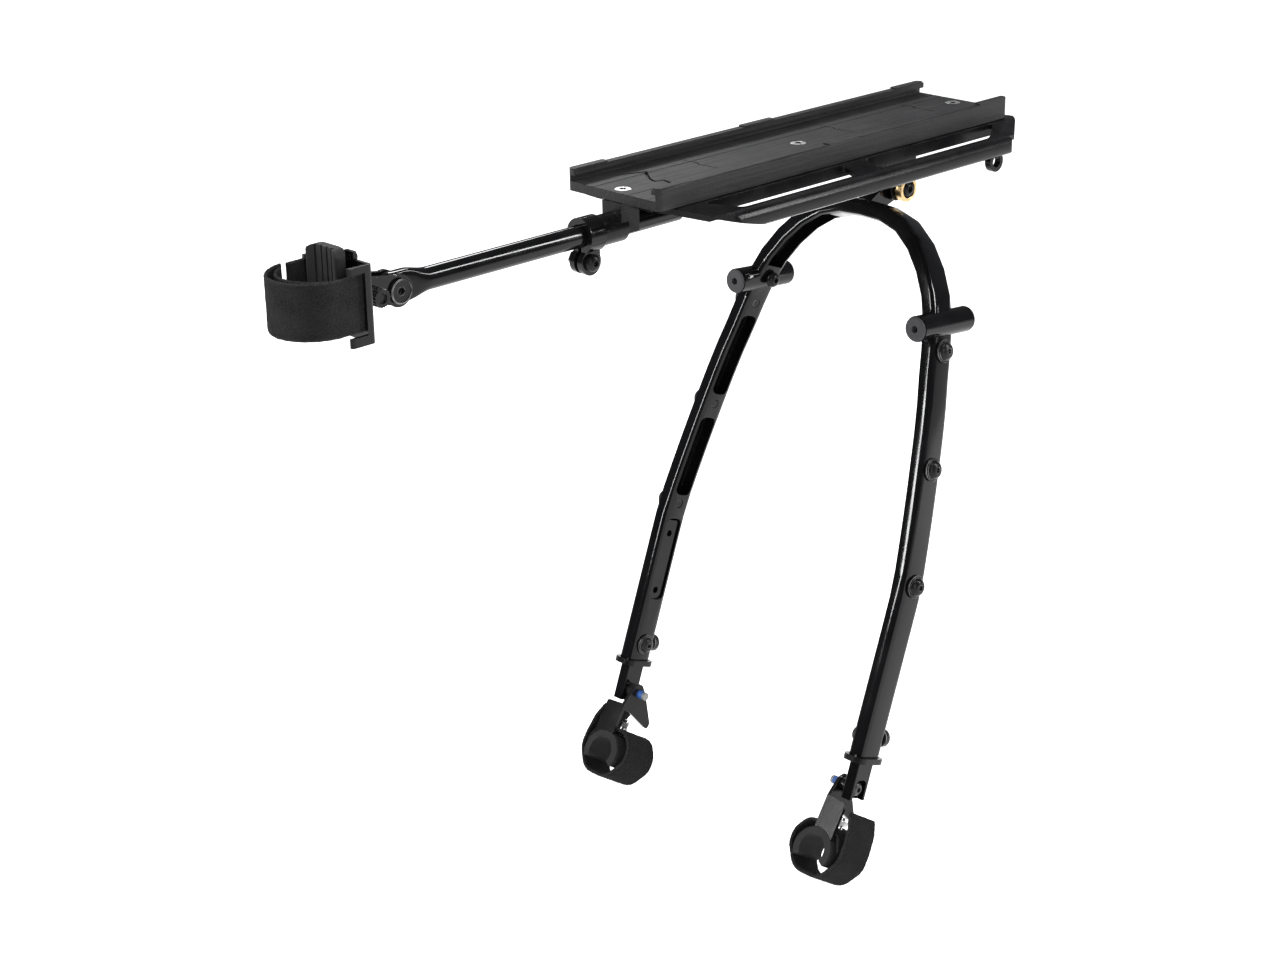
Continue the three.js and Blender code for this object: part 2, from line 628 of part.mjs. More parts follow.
// The plastic ring round the tube's lower end, with a lip under the tube that guides the slider.
function tubeCollarPart() {
  const c = tubeCollar;
  const wide = leg.across + 2 * (GAP + c.flange);
  const deep = leg.deep + 2 * (GAP + c.flange);
  const bottom = -leg.end - GAP - c.lip;
  const ringSolid = prismZ(softBox(deep, wide, leg.round + c.flange), bottom, bottom + c.up);
  const seat = prismZ(softBox(leg.deep + 2 * GAP, leg.across + 2 * GAP, leg.round), -leg.end - GAP, 0);
  const through = prismZ(softBox(slider.deep + 2 * GAP, slider.across + 2 * GAP, 1.2), bottom - 1, 0);
  return onLeg(ringSolid.subtract(seat).subtract(through).translate([0, leg.spread, 0]));
}

// ---------------------------------------------------------------- lower legs
function sliderBar() {
  const s = slider;
  let bar = prismZ(softBox(s.deep, s.across, 1), -s.bottom, -s.top).translate([0, leg.spread, 0]);
  for (const u of s.holes) {
    bar = bar.subtract(alongY(rod(s.hole / 2, 60, 120, COARSE)).translate([0, 0, -u]));
  }
  bar = bar.subtract(alongY(rod(footBolt.shank / 2 + GAP, 60, 120, COARSE)).translate([0, 0, -s.pivotU]));
  const recess = prismY(softBox(footBolt.head + 1.2, 24, 4), leg.spread - 0.4, 120);
  return onLeg(bar.subtract(recess.translate([0, 0, -s.pivotU - 6])));
}

function footPivotScrew() {
  const seat = leg.spread - 0.4 + GAP;
  const screw = buttonScrew({
    head: footBolt.head, headHeight: footBolt.headHeight, shank: footBolt.shank, reach: seat - footBolt.tip,
    hex: 3,
  });
  return onFoot(alongY(screw).translate([0, seat, 0]));
}

// ---------------------------------------------------------------- feet
function footBracket() {
  const f = foot;
  const front = f.cradleForward + 6.1;
  const inner = f.plateInner;
  const side = softOutline([
    [front, -9], [5.4, 2.6], [0, 6.4], [-6.4, 1.4], [-21.5, -15.4], [-20, -19.2], [0.8, -13], [front, -13],
  ], 2.2);
  const flange = prismY(side, inner, inner + f.sheet);
  const plate = prismX(softOutline([
    [inner, -9], [f.plateOuter, -10], [f.plateOuter, -f.plateBottom], [inner, -f.plateBottom],
  ], 1.6), front - f.sheet, front);
  const roofTop = -f.cradleDown + cradle.outer + 0.3 + f.sheet;
  const roof = box(-17, front - 0.2, inner, f.cradleY + f.roofReach, roofTop - f.sheet, roofTop);
  const corner = box(front - f.sheet, front, inner, inner + 2.4, -f.plateBottom, -9.6);
  const boss = alongY(rod(4.6, inner + 0.5, leg.spread - slider.across / 2 - GAP, COARSE));
  let bracket = joined(flange, plate, roof, corner, boss);
  const round = alongX(rod(cradle.outer + 0.3, -40, 40)).translate([0, f.cradleY, -f.cradleDown]);
  bracket = bracket.subtract(round);
  bracket = bracket.subtract(alongY(rod(footBolt.shank / 2 + GAP, 60, 120, COARSE)));
  const screwHole = rod(2 + GAP, -45, -10, COARSE).translate([footScrewAt().x, footScrewAt().y, 0]);
  return onFoot(bracket.subtract(screwHole));
}

function footScrewAt() {
  return { x: -7, y: foot.cradleY + 1.5 };
}

// A C of rubber that sits over the stay, open below.
function cradlePad() {
  const open = THREE.MathUtils.degToRad(cradle.mouth / 2);
  const start = -Math.PI / 2 + open;
  const end = (3 * Math.PI) / 2 - open;
  const shape = new THREE.Shape();
  shape.absarc(0, 0, cradle.outer, start, end, false);
  shape.absarc(0, 0, cradle.inner, end, start, true);
  const front = foot.cradleForward + 6.1;
  const pad = prismX(shape, front - cradle.deep, front, 18).translate([0, foot.cradleY, -foot.cradleDown]);
  const { x, y } = footScrewAt();
  return onFoot(pad.subtract(rod(2 + GAP, -foot.cradleDown, 0, COARSE).translate([x, y, 0])));
}

function footScrewPart() {
  const base = strapTop() + GAP;
  const nut = prismZ(regular(footBolt.nut - 1, 6), base, base + 3);
  const { x, y } = footScrewAt();
  const shank = rod(2, -foot.cradleDown + cradle.inner + 0.6, base + 5, COARSE);
  return onFoot(joined(nut, shank).translate([x, y, 0]));
}

function strapTop() {
  return -foot.cradleDown + cradle.outer + 0.3 + foot.sheet + GAP + footStrap.thick;
}

// A rounded outline with a flat top, half width w and half height h.
function loopOutline(w, h) {
  const right = [[w * 0.55, -h], [w, -h * 0.35], [w, h * 0.45], [w * 0.62, h]];
  return softOutline([...right, ...right.map(([y, z]) => [-y, z]).reverse()], 12);
}

// The strap's loop round the stay, with its free end standing up on the outer side.
function footStrapPart() {
  const s = footStrap;
  const low = -foot.cradleDown - s.bottom;
  const middle = (strapTop() + low) / 2;
  const tall = strapTop() - low;
  const outer = loopOutline(s.round, tall / 2);
  const inner = loopOutline(s.round - s.thick, tall / 2 - s.thick);
  const front = foot.cradleForward + 6.1 - foot.sheet - GAP;
  const space = prismX(inner, front - s.wide - 1, front + 1, 10);
  const loop = prismX(outer, front - s.wide, front, 10).subtract(space);
  const tail = prismX(softOutline([
    [s.round - 2.4, -2], [s.round - 0.2, -2], [s.round - 1.2, 15], [s.round - 4.6, 27.5],
    [s.round - 6.6, 26.6],
    [s.round - 3.4, 14.6],
  ], 2.4), front - s.wide, front);
  const shaped = loop.add(tail).translate([0, foot.cradleY, middle]);
  const { x, y } = footScrewAt();
  return onFoot(shaped.subtract(rod(2 + GAP, -40, -5, COARSE).translate([x, y, 0])));
}

// ---------------------------------------------------------------- boom
function boomTube() {
  const b = boom;
  const neckEnd = b.eyeX - 8;
  const tube = rod(b.radius, b.tail, b.neck, FINE);
  const swell = lathe([
    [0, b.neck - 6], [b.radius, b.neck - 6], [b.radius + 0.4, b.neck + 6], [b.eyeRadius, neckEnd - 4],
    [b.eyeRadius + 1, b.eyeX + b.eyeRadius], [0, b.eyeX + b.eyeRadius],
  ]);
  const half = b.eyeWidth / 2;
  const plan = polygon([
    [b.neck - 7, -b.radius - 1], [b.neck - 2, -b.radius - 0.2], [neckEnd, -half], [b.eyeX + 20, -half],
    [b.eyeX + 20, half], [neckEnd, half], [b.neck - 2, b.radius + 0.2], [b.neck - 7, b.radius + 1],
  ]);
  const side = joined(
    prismY(polygon([
      [b.neck - 7, -b.radius - 1], [neckEnd - 2, -b.eyeRadius + 0.6], [b.eyeX, -b.eyeRadius],
      [b.eyeX, b.eyeRadius], [neckEnd - 2, b.eyeRadius - 0.6], [b.neck - 7, b.radius + 1],
    ]), -20, 20),
    alongY(rod(b.eyeRadius, -20, 20)).translate([b.eyeX, 0, 0]),
  );
  const head = alongX(swell).intersect(prismZ(plan, -20, 20)).intersect(side);
  const bore = alongX(rod(b.radius - b.wall, b.tail - 1, b.neck - 8));
  const pin = alongY(rod(3 + GAP, -20, 20, COARSE)).translate([b.eyeX, 0, 0]);
  return joined(alongX(tube), head).subtract(bore).subtract(pin).translate([0, 0, b.z]);
}

// ---------------------------------------------------------------- seat post clamp
function linkFork() {
  const l = linkPlate;
  const inner = l.gapHalf;
  const outer = inner + l.thick;
  const half = l.height / 2;
  const rise = boom.z;
  const cheek = joined(
    prismY(softOutline([
      [boom.eyeX, rise - half], [l.front, POST.z - half], [l.front, POST.z + half - 2],
      [boom.eyeX, rise + half],
    ], 1), -outer, outer),
    alongY(rod(boom.eyeRadius, -outer, outer)).translate([boom.eyeX, 0, rise]),
  );
  const hollow = box(0, l.front - 8, -inner, inner, -60, 40);
  const pin = alongY(rod(3 + GAP, -20, 20, COARSE)).translate([boom.eyeX, 0, rise]);
  const knobPin = alongY(rod(thumb.shank / 2 + GAP, 0, 20, COARSE)).translate([l.knobX, 0, l.knobZ]);
  return cheek.subtract(hollow).subtract(pin).subtract(knobPin);
}

function eyeBolt() {
  const face = linkPlate.gapHalf + linkPlate.thick + GAP;
  const body = lathe([
    [0, -face - 2.4], [5, -face - 2.4], [5, -face], [3, -face], [3, face], [6.5, face], [6.5, face + 1.6],
    [5.9, face + 1.9], [5.3, face + 1.2], [0, face + 1.2],
  ], FINE).subtract(prismZ(regular(4, 6), face - 1.6, face + 4));
  return alongY(body).translate([boom.eyeX, 0, boom.z]);
}

function thumbScrew() {
  const face = linkPlate.gapHalf + linkPlate.thick + GAP;
  const shape = new THREE.Shape();
  const count = thumb.teeth * 2;
  for (let i = 0; i < count; i++) {
    const angle = (2 * Math.PI * i) / count;
    const r = thumb.radius - (i % 2) * thumb.tooth;
    if (i === 0) shape.moveTo(r, 0);
    else shape.lineTo(r * Math.cos(angle), r * Math.sin(angle));
  }
  shape.closePath();
  const knob = prismZ(shape, face, thumb.faceY);
  const body = knob.add(rod(thumb.shank / 2, linkPlate.gapHalf + 0.4, face + 1, COARSE))
    .subtract(rod(thumb.radius - 2, thumb.faceY - 1.2, thumb.faceY + 1, COARSE));
  return alongY(body).translate([linkPlate.knobX, 0, linkPlate.knobZ]);
}

// A channel whose cheeks stand outside the strap's corners, each open in front of an upright bar where the
// strap comes out, with a small tab on top for its screw.
function padBracketPart() {
  const b = padBracket;
  const half = postStrap.radius + GAP + b.thick;
  const back = linkPlate.front + GAP;
  let channel = prismZ(softOutline([
    [back, -half], [b.cheekFront, -half], [b.cheekFront, half], [back, half],
  ], 2), b.bottom, b.top);
  const clear = half - b.thick;
  channel = channel.subtract(box(back + b.thick, 400, -clear, clear, b.bottom - 1, b.top + 1));
  channel = channel.subtract(box(back + b.bar, 400, -60, 60, b.slotBottom, b.slotTop));
  channel = channel.subtract(box(back - 1, 400, -60, -clear, b.farTop, b.top + 1));
  const t = tabBolt;
  const tab = box(back, back + b.thick, t.y - t.half, t.y + t.half, b.top - 1, t.z + t.half);
  return channel.add(tab).subtract(alongX(rod(t.shank / 2 + GAP, 0, 400, COARSE)).translate([0, t.y, t.z]));
}

function postStrapBack() {
  return linkPlate.front + GAP + padBracket.thick + GAP;
}

function tabScrew() {
  const screw = buttonScrew({
    head: tabBolt.head, headHeight: tabBolt.height, shank: tabBolt.shank, reach: padBracket.thick + 0.2,
    hex: 2,
  });
  return alongX(screw.rotate([0, 180, 0])).translate([linkPlate.front, tabBolt.y, tabBolt.z]);
}

// The rubber block that bears on the seat post: hollowed along its face, with grooves.
function postPadPart() {
  const p = postPad;
  const back = postStrapBack() + postStrap.thick + GAP;
  const outline = softOutline([
    [back, -p.half + 2], [back + 3, -p.half], [p.face + 3, -p.half + 0.6], [p.face, -5], [p.face, 5],
    [p.face + 3, p.half - 0.6], [back + 3, p.half], [back, p.half - 2],
  ], 2);
  let pad = prismZ(outline, p.bottom, p.top);
  const frontView = softBox(2 * p.half, p.top - p.bottom, 7);
  pad = pad.intersect(prismX(frontView, 300, 360).translate([0, 0, (p.top + p.bottom) / 2]));
  for (let i = 0; i < p.grooves; i++) {
    const y = (i - (p.grooves - 1) / 2) * p.pitch;
    pad = pad.subtract(box(p.face - p.groove, p.face + 6, y - 0.6, y + 0.6, p.bottom - 1, p.top + 1));
  }
  return pad;
}

// The strap's loop: straight behind the pad, round in front of it.
function postStrapPart() {
  const s = postStrap;
  const x = POST.x;
  const back = postStrapBack();
  const ringOf = (r, rear) => joined(
    rod(r, 0, s.wide, 48).translate([x, 0, 0]).subtract(box(0, x, -60, 60, -1, s.wide + 1)),
    prismZ(softOutline([[rear, -r], [x + 0.1, -r], [x + 0.1, r], [rear, r]], 2.4), 0, s.wide),
  );
  const inner = ringOf(s.radius - s.thick, back + s.thick).translate([0, 0, -5]);
  const tall = joined(inner, inner.translate([0, 0, 10]));
  return ringOf(s.radius, back).subtract(tall).translate([0, 0, s.z - s.wide / 2]);
}

// ---------------------------------------------------------------- the assembly
const group = new THREE.Group();
group.name = 'rear_rack';

function piece(name, s, [color, roughness, metalness]) {
  const mesh = s.translate([-POST.x, 0, -POST.z]).getMesh();
  const geometry = new THREE.BufferGeometry();
  geometry.setAttribute('position', new THREE.BufferAttribute(mesh.vertProperties, 3));
  geometry.setIndex(new THREE.BufferAttribute(mesh.triVerts, 1));
  const part = new THREE.Mesh(geometry, new THREE.MeshStandardMaterial({ color, roughness, metalness }));
  part.name = name;
  group.add(part);
}

function pair(stem, s, finish) {
  piece(`${stem}_left`, s, finish);
  piece(`${stem}_right`, mirrorY(s), finish);
}

piece('deck_plate', deckPlate(), look.deck);
['front', 'middle', 'rear'].forEach((spot, i) => {
  piece(`deck_screw_${spot}`, deckScrewPart().translate([(1 - i) * deckScrew.pitch, 0, 0]), look.silver);
});
piece('spine', spineBar(), look.wing);
pair('wing', leftWing(), look.wing);
piece('boom_socket', boomSocket(), look.plastic);
piece('clamp_collar', clampCollar(), look.gloss);
piece('clamp_screw', clampScrew(), look.bolt);
piece('clamp_nut', clampNut(), look.bolt);
piece('leg_fork', legFork(), look.gloss);
pair('pivot_ring', pivotRing(), look.gold);
piece('pivot_bolt', pivotBolt(), look.bolt);
piece('pivot_nut', pivotNut(), look.bolt);

piece('arch_frame', archFrame(), look.gloss);
pair('peg_plug_front', pegPlug(1), look.grey);
pair('peg_plug_rear', pegPlug(-1), look.grey);
pair('peg_screw', pegTieScrew(), look.bolt);
sideBoltSpots().forEach((u, i) => {
  pair(`side_screw_${['upper', 'middle', 'lower'][i]}`, sideScrew(u), look.bolt);
});
pair('leg_clamp_screw', innerClampScrew(), look.bolt);
pair('leg_clamp_knob', rearClampKnob(), look.bolt);
pair('tube_collar', tubeCollarPart(), look.plastic);

pair('slider', sliderBar(), look.wing);
pair('foot_pivot_screw', footPivotScrew(), look.bolt);
pair('foot_bracket', footBracket(), look.wing);
pair('foot_screw', footScrewPart(), look.silver);
pair('cradle_pad', cradlePad(), look.rubber);
pair('foot_strap', footStrapPart(), look.strap);

piece('boom_tube', boomTube(), look.gloss);
piece('eye_bolt', eyeBolt(), look.bolt);
piece('link_fork', linkFork(), look.gloss);
piece('thumb_screw', thumbScrew(), look.bolt);
piece('pad_bracket', padBracketPart(), look.plastic);
piece('tab_screw', tabScrew(), look.bolt);
piece('post_pad', postPadPart(), look.rubber);
piece('post_strap', postStrapPart(), look.strap);

export default group;
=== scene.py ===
"""Rear bicycle rack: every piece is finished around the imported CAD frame, in metres, X towards the seat post,
Y to the bicycle's left, Z up. The sections follow the order in which the rack is put together."""

import json
import math

import bmesh
import bpy
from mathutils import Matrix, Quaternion, Vector, noise

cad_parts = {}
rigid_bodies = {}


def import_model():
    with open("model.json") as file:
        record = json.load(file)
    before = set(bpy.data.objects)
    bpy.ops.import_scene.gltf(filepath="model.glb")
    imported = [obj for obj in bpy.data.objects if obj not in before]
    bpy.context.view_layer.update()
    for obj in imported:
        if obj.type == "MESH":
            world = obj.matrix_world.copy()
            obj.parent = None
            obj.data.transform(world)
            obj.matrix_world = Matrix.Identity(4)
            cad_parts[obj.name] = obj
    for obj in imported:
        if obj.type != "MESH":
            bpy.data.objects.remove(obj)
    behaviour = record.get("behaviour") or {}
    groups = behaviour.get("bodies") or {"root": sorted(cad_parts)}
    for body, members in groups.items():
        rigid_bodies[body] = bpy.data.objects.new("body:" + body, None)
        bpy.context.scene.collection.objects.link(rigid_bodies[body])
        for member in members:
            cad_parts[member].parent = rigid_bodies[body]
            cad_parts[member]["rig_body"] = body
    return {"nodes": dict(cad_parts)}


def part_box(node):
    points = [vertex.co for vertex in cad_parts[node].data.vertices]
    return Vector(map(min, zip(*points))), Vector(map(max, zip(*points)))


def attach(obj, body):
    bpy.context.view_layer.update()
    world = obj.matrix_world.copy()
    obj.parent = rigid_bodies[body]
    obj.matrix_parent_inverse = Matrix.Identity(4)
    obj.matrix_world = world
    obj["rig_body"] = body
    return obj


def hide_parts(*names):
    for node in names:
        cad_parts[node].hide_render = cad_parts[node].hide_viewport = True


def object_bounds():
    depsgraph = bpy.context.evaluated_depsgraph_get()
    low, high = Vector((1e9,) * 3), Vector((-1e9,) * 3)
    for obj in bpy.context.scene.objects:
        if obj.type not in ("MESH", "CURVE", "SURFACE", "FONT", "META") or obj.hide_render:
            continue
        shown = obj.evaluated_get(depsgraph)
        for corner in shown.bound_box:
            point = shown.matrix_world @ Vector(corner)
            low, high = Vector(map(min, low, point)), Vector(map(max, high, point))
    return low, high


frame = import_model()
cad_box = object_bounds()

# ---------------------------------------------------------------- studio
# A pale paper floor under the rack's own box, soft boxes round it and a long lens. None of it belongs to
# the rack. The camera comes first, because every finish below is judged through it.
aim = Vector((-0.2553, -0.0420, -0.1784))
stand_off = 1.4518
camera_turn, camera_rise, camera_lean = math.radians(46.15), math.radians(21.20), math.radians(-1.083)
toward = Vector((
    math.cos(camera_turn) * math.cos(camera_rise),
    math.sin(camera_turn) * math.cos(camera_rise),
    math.sin(camera_rise),
))
camera = bpy.data.objects.new("camera", bpy.data.cameras.new("camera"))
camera.data.sensor_width, camera.data.lens, camera.data.clip_start = 36, 70.26, 0.02
camera.location = aim + toward * stand_off
camera.rotation_mode = "QUATERNION"
camera.rotation_quaternion = toward.to_track_quat("Z", "Y") @ Quaternion((0, 0, 1), camera_lean)
bpy.context.scene.collection.objects.link(camera)
bpy.context.scene.camera = camera
bpy.context.scene.view_settings.view_transform = "Standard"

paper_half, paper_drop = 7.0, 0.0005
paper = bpy.data.meshes.new("paper")
paper.from_pydata(
    [
        (x * paper_half, y * paper_half, cad_box[0].z - paper_drop)
        for x, y in ((-1, -1), (1, -1), (1, 1), (-1, 1))
    ],
    [], [(0, 1, 2, 3)],
)
floor = bpy.data.objects.new("paper_floor", paper)
bpy.context.scene.collection.objects.link(floor)
paper_finish = bpy.data.materials.new("pale paper")
paper_finish.use_nodes = True
paper_surface = paper_finish.node_tree.nodes["Principled BSDF"]
paper_surface.inputs["Base Color"].default_value = (0.93, 0.93, 0.93, 1)
paper_surface.inputs["Roughness"].default_value = 0.9
paper_surface.inputs["Specular IOR Level"].default_value = 0.1
paper_surface.inputs["Emission Color"].default_value = (1.0, 1.0, 1.0, 1)
paper_surface.inputs["Emission Strength"].default_value = 0.82
paper.materials.append(paper_finish)

studio_world = bpy.data.worlds.new("studio")
studio_world.use_nodes = True
studio_world.node_tree.nodes["Background"].inputs["Color"].default_value = (0.93, 0.95, 1.0, 1)
studio_world.node_tree.nodes["Background"].inputs["Strength"].default_value = 0.16
bpy.context.scene.world = studio_world


def soft_box(name, place, look_at, width, height, power, roll=0.0):
    lamp = bpy.data.lights.new(name, "AREA")
    lamp.shape, lamp.size, lamp.size_y, lamp.energy = "RECTANGLE", width, height, power
    stand = bpy.data.objects.new(name, lamp)
    stand.location = place
    back = (Vector(place) - Vector(look_at)).normalized()
    stand.rotation_mode = "QUATERNION"
    stand.rotation_quaternion = back.to_track_quat("Z", "Y") @ Quaternion((0, 0, 1), math.radians(roll))
    stand.visible_camera = False
    bpy.context.scene.collection.objects.link(stand)


soft_box("overhead_box", (-0.25, 0.1, 1.7), aim, 1.2, 0.5, 11)
soft_box("left_strip", (1.1, -0.9, 0.75), aim, 0.09, 1.5, 28)
soft_box("right_strip", (-1.3, 1.1, 0.7), aim, 0.10, 1.5, 28)
soft_box("front_strip", (0.75, 1.25, 0.55), aim, 0.05, 1.3, 12)
soft_box("rear_box", (-1.2, -1.3, 1.0), aim, 0.5, 0.4, 9)

# ---------------------------------------------------------------- deck plate
# The deck is one injection moulded plate with two undercut rails, so it carries a fine moulded grain, a few
# lengthwise flow lines and pale painted edges, partly wear where bags slide on and partly a painted highlight.


def shader_group(name, inputs, outputs):
    tree = bpy.data.node_groups.new(name, "ShaderNodeTree")
    for label, kind, value in inputs:
        tree.interface.new_socket(name=label, in_out="INPUT", socket_type=kind).default_value = value
    for label, kind in outputs:
        tree.interface.new_socket(name=label, in_out="OUTPUT", socket_type=kind)
    return tree, tree.nodes.new("NodeGroupInput").outputs, tree.nodes.new("NodeGroupOutput").inputs


def shader_node(tree, kind, values=None, **settings):
    made = tree.nodes.new(kind)
    for setting, value in settings.items():
        setattr(made, setting, value)
    for socket, value in (values or {}).items():
        if isinstance(value, bpy.types.NodeSocket):
            tree.links.new(value, made.inputs[socket])
        else:
            made.inputs[socket].default_value = value
    return made


def shader_sum(tree, operation, first, second=0.0, third=0.0, clamp=False):
    values = {0: first, 1: second}
    if operation == "MULTIPLY_ADD":
        values[2] = third
    return shader_node(tree, "ShaderNodeMath", values, operation=operation, use_clamp=clamp).outputs[0]


def shader_mix(tree, share, first, second):
    made = shader_node(tree, "ShaderNodeMix", data_type="RGBA")
    for socket, value in ((made.inputs[0], share), (made.inputs[6], first), (made.inputs[7], second)):
        if isinstance(value, bpy.types.NodeSocket):
            tree.links.new(value, socket)
        else:
            socket.default_value = value
    return made.outputs[2]


def spread(tree, value, low, high, out_low=0.0, out_high=1.0):
    made = shader_node(tree, "ShaderNodeMapRange", {0: value, 1: low, 2: high, 3: out_low, 4: out_high})
    return made.outputs[0]


def edge_wear_and_highlight_group():
    # Mask that lightens bevelled edges in noisy patches: partly edge wear, partly a painted highlight along the
    # edges.
    tree, given, result = shader_group(
        "edge wear and painted highlight", [("Amount", "NodeSocketFloat", 0.5), ("Patch Size", "NodeSocketFloat", 180.0)],
        [("Mask", "NodeSocketFloat")],
    )
    edge = shader_node(tree, "ShaderNodeAttribute", attribute_name="edge").outputs["Fac"]
    place = shader_node(tree, "ShaderNodeTexCoord").outputs["Object"]
    patches = shader_node(
        tree, "ShaderNodeTexNoise", {"Vector": place, "Scale": given["Patch Size"], "Detail": 4.0})
    rubbed = spread(tree, patches.outputs["Fac"], 0.38, 0.66)
    tree.links.new(
        shader_sum(tree, "MULTIPLY", shader_sum(tree, "MULTIPLY", edge, rubbed), given["Amount"], clamp=True),
        result["Mask"],
    )
    return tree


def settled_dust_group():
    tree, given, result = shader_group(
        "settled dust", [("Amount", "NodeSocketFloat", 0.2)], [("Mask", "NodeSocketFloat")],
    )
    facing = shader_node(tree, "ShaderNodeNewGeometry").outputs["Normal"]
    upward = shader_node(tree, "ShaderNodeSeparateXYZ", {0: facing}).outputs["Z"]
    place = shader_node(tree, "ShaderNodeTexCoord").outputs["Object"]
    clouds = shader_node(
        tree, "ShaderNodeTexNoise", {"Vector": place, "Scale": 45.0, "Detail": 6.0, "Roughness": 0.7})
    lying = shader_sum(
        tree, "MULTIPLY", spread(tree, upward, 0.3, 1.0), spread(tree, clouds.outputs["Fac"], 0.42, 0.75))
    tree.links.new(shader_sum(tree, "MULTIPLY", lying, given["Amount"], clamp=True), result["Mask"])
    return tree


def moulded_grain_group():
    tree, given, result = shader_group(
        "moulded grain",
        [("Grain Size", "NodeSocketFloat", 1400.0), ("Flow Lines", "NodeSocketFloat", 0.3)],
        [("Height", "NodeSocketFloat"), ("Tint", "NodeSocketFloat")],
    )
    place = shader_node(tree, "ShaderNodeTexCoord").outputs["Object"]
    pits = shader_node(tree, "ShaderNodeTexVoronoi", {"Vector": place, "Scale": given["Grain Size"]})
    fine = shader_node(
        tree, "ShaderNodeTexNoise", {"Vector": place, "Scale": given["Grain Size"], "Detail": 3.0})
    drawn = shader_node(
        tree, "ShaderNodeMapping", {"Vector": place, "Scale": (14.0, 420.0, 420.0)}).outputs[0]
    lines = shader_node(
        tree, "ShaderNodeTexNoise", {"Vector": drawn, "Scale": 1.0, "Detail": 2.0}).outputs["Fac"]
    grain = shader_sum(tree, "MULTIPLY_ADD", pits.outputs["Distance"], 0.6, fine.outputs["Fac"])
    flow = shader_sum(tree, "MULTIPLY", spread(tree, lines, 0.4, 0.7), given["Flow Lines"])
    tree.links.new(shader_sum(tree, "ADD", grain, flow), result["Height"])
    clouds = shader_node(
        tree, "ShaderNodeTexNoise", {"Vector": place, "Scale": 30.0, "Detail": 5.0}).outputs["Fac"]
    tone = shader_sum(tree, "MULTIPLY_ADD", flow, 0.6, spread(tree, clouds, 0.3, 0.7, 0.0, 0.6))
    tree.links.new(tone, result["Tint"])
    return tree


edge_wear_and_highlight, settled_dust, moulded_grain = edge_wear_and_highlight_group(), settled_dust_group(), moulded_grain_group()


def placed_group(tree, group, **values):
    made = tree.nodes.new("ShaderNodeGroup")
    made.node_tree = group
    for label, value in values.items():
        made.inputs[label.replace("_", " ")].default_value = value
    return made.outputs


def new_finish(name, roughness=0.5, metallic=0.0, coat=0.0, specular=0.4):
    made = bpy.data.materials.new(name)
    made.use_nodes = True
    surface = made.node_tree.nodes["Principled BSDF"]
    surface.inputs["Roughness"].default_value = roughness
    surface.inputs["Metallic"].default_value = metallic
    surface.inputs["Coat Weight"].default_value = coat
    surface.inputs["Coat Roughness"].default_value = 0.06
    surface.inputs["Specular IOR Level"].default_value = specular
    return made, made.node_tree, surface


def relief(tree, surface, height, depth, strength=1.0):
    bump = shader_node(tree, "ShaderNodeBump", {"Height": height, "Distance": depth, "Strength": strength})
    tree.links.new(bump.outputs["Normal"], surface.inputs["Normal"])


def moulded_plastic(name, dark, light, rough, grain=1400.0, flow=0.3, depth=0.00012, wear_and_highlight=0.5, dust=0.18):
    made, tree, surface = new_finish(name, rough, specular=0.16)
    grained = placed_group(tree, moulded_grain, Grain_Size=grain, Flow_Lines=flow)
    edge_wear_and_highlight_mask = placed_group(tree, edge_wear_and_highlight, Amount=wear_and_highlight)["Mask"]
    dusty = placed_group(tree, settled_dust, Amount=dust)["Mask"]
    colour = shader_mix(tree, grained["Tint"], (*dark, 1), (*light, 1))
    # Edges painted paler: partly wear, partly a painted highlight along the bevels.
    colour = shader_mix(tree, edge_wear_and_highlight_mask, colour, (0.12, 0.12, 0.124, 1))
    colour = shader_mix(tree, dusty, colour, (0.12, 0.12, 0.123, 1))
    tree.links.new(colour, surface.inputs["Base Color"])
    tree.links.new(
        spread(tree, grained["Tint"], 0.0, 1.0, rough - 0.07, rough + 0.1), surface.inputs["Roughness"])
    relief(tree, surface, grained["Height"], depth)
    return made


def rounded_piece(node, finish, edge=0.0003, flatten=0.5):
    """The finished form of a CAD node: flat facets joined up, sharp edges broken and curves smooth."""
    crease = math.radians(50)
    form = bmesh.new()
    form.from_mesh(frame["nodes"][node].data)
    bmesh.ops.remove_doubles(form, verts=form.verts, dist=2e-6)
    bmesh.ops.dissolve_limit(
        form, angle_limit=math.radians(flatten), use_dissolve_boundaries=False,
        verts=form.verts, edges=form.edges,
    )
    sharp = [e for e in form.edges if e.is_manifold and e.calc_face_angle() > crease]
    broken = bmesh.ops.bevel(
        form, geom=sharp, offset=edge, offset_type="OFFSET", segments=2, profile=0.5, affect="EDGES",
        clamp_overlap=True,
    )
    # The bevel faces carry the edge mask, which later paints both wear and a painted highlight on the edges.
    edge_wear_and_highlight_faces = set(broken["faces"])
    edge_wear_and_highlight_layer = form.verts.layers.float.new("edge")
    for vertex in form.verts:
        if vertex.link_faces and all(face in edge_wear_and_highlight_faces for face in vertex.link_faces):
            vertex[edge_wear_and_highlight_layer] = 1.0
    for face in form.faces:
        face.smooth = True
    mesh = bpy.data.meshes.new(node + "_finished")
    form.to_mesh(mesh)
    form.free()
    mesh.set_sharp_from_angle(angle=crease)
    mesh.materials.append(finish)
    piece = bpy.data.objects.new(node + "_finished", mesh)
    bpy.context.scene.collection.objects.link(piece)
    even = piece.modifiers.new("even shading", "WEIGHTED_NORMAL")
    even.keep_sharp, even.weight = True, 60
    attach(piece, frame["nodes"][node]["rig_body"])
    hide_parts(node)
    return piece


deck_moulding = moulded_plastic(
    "moulded deck plastic", (0.009, 0.009, 0.0095), (0.021, 0.021, 0.022), 0.46,
    flow=0.9, wear_and_highlight=0.75, dust=0.1)
rounded_piece("deck_plate", deck_moulding, edge=0.0004)
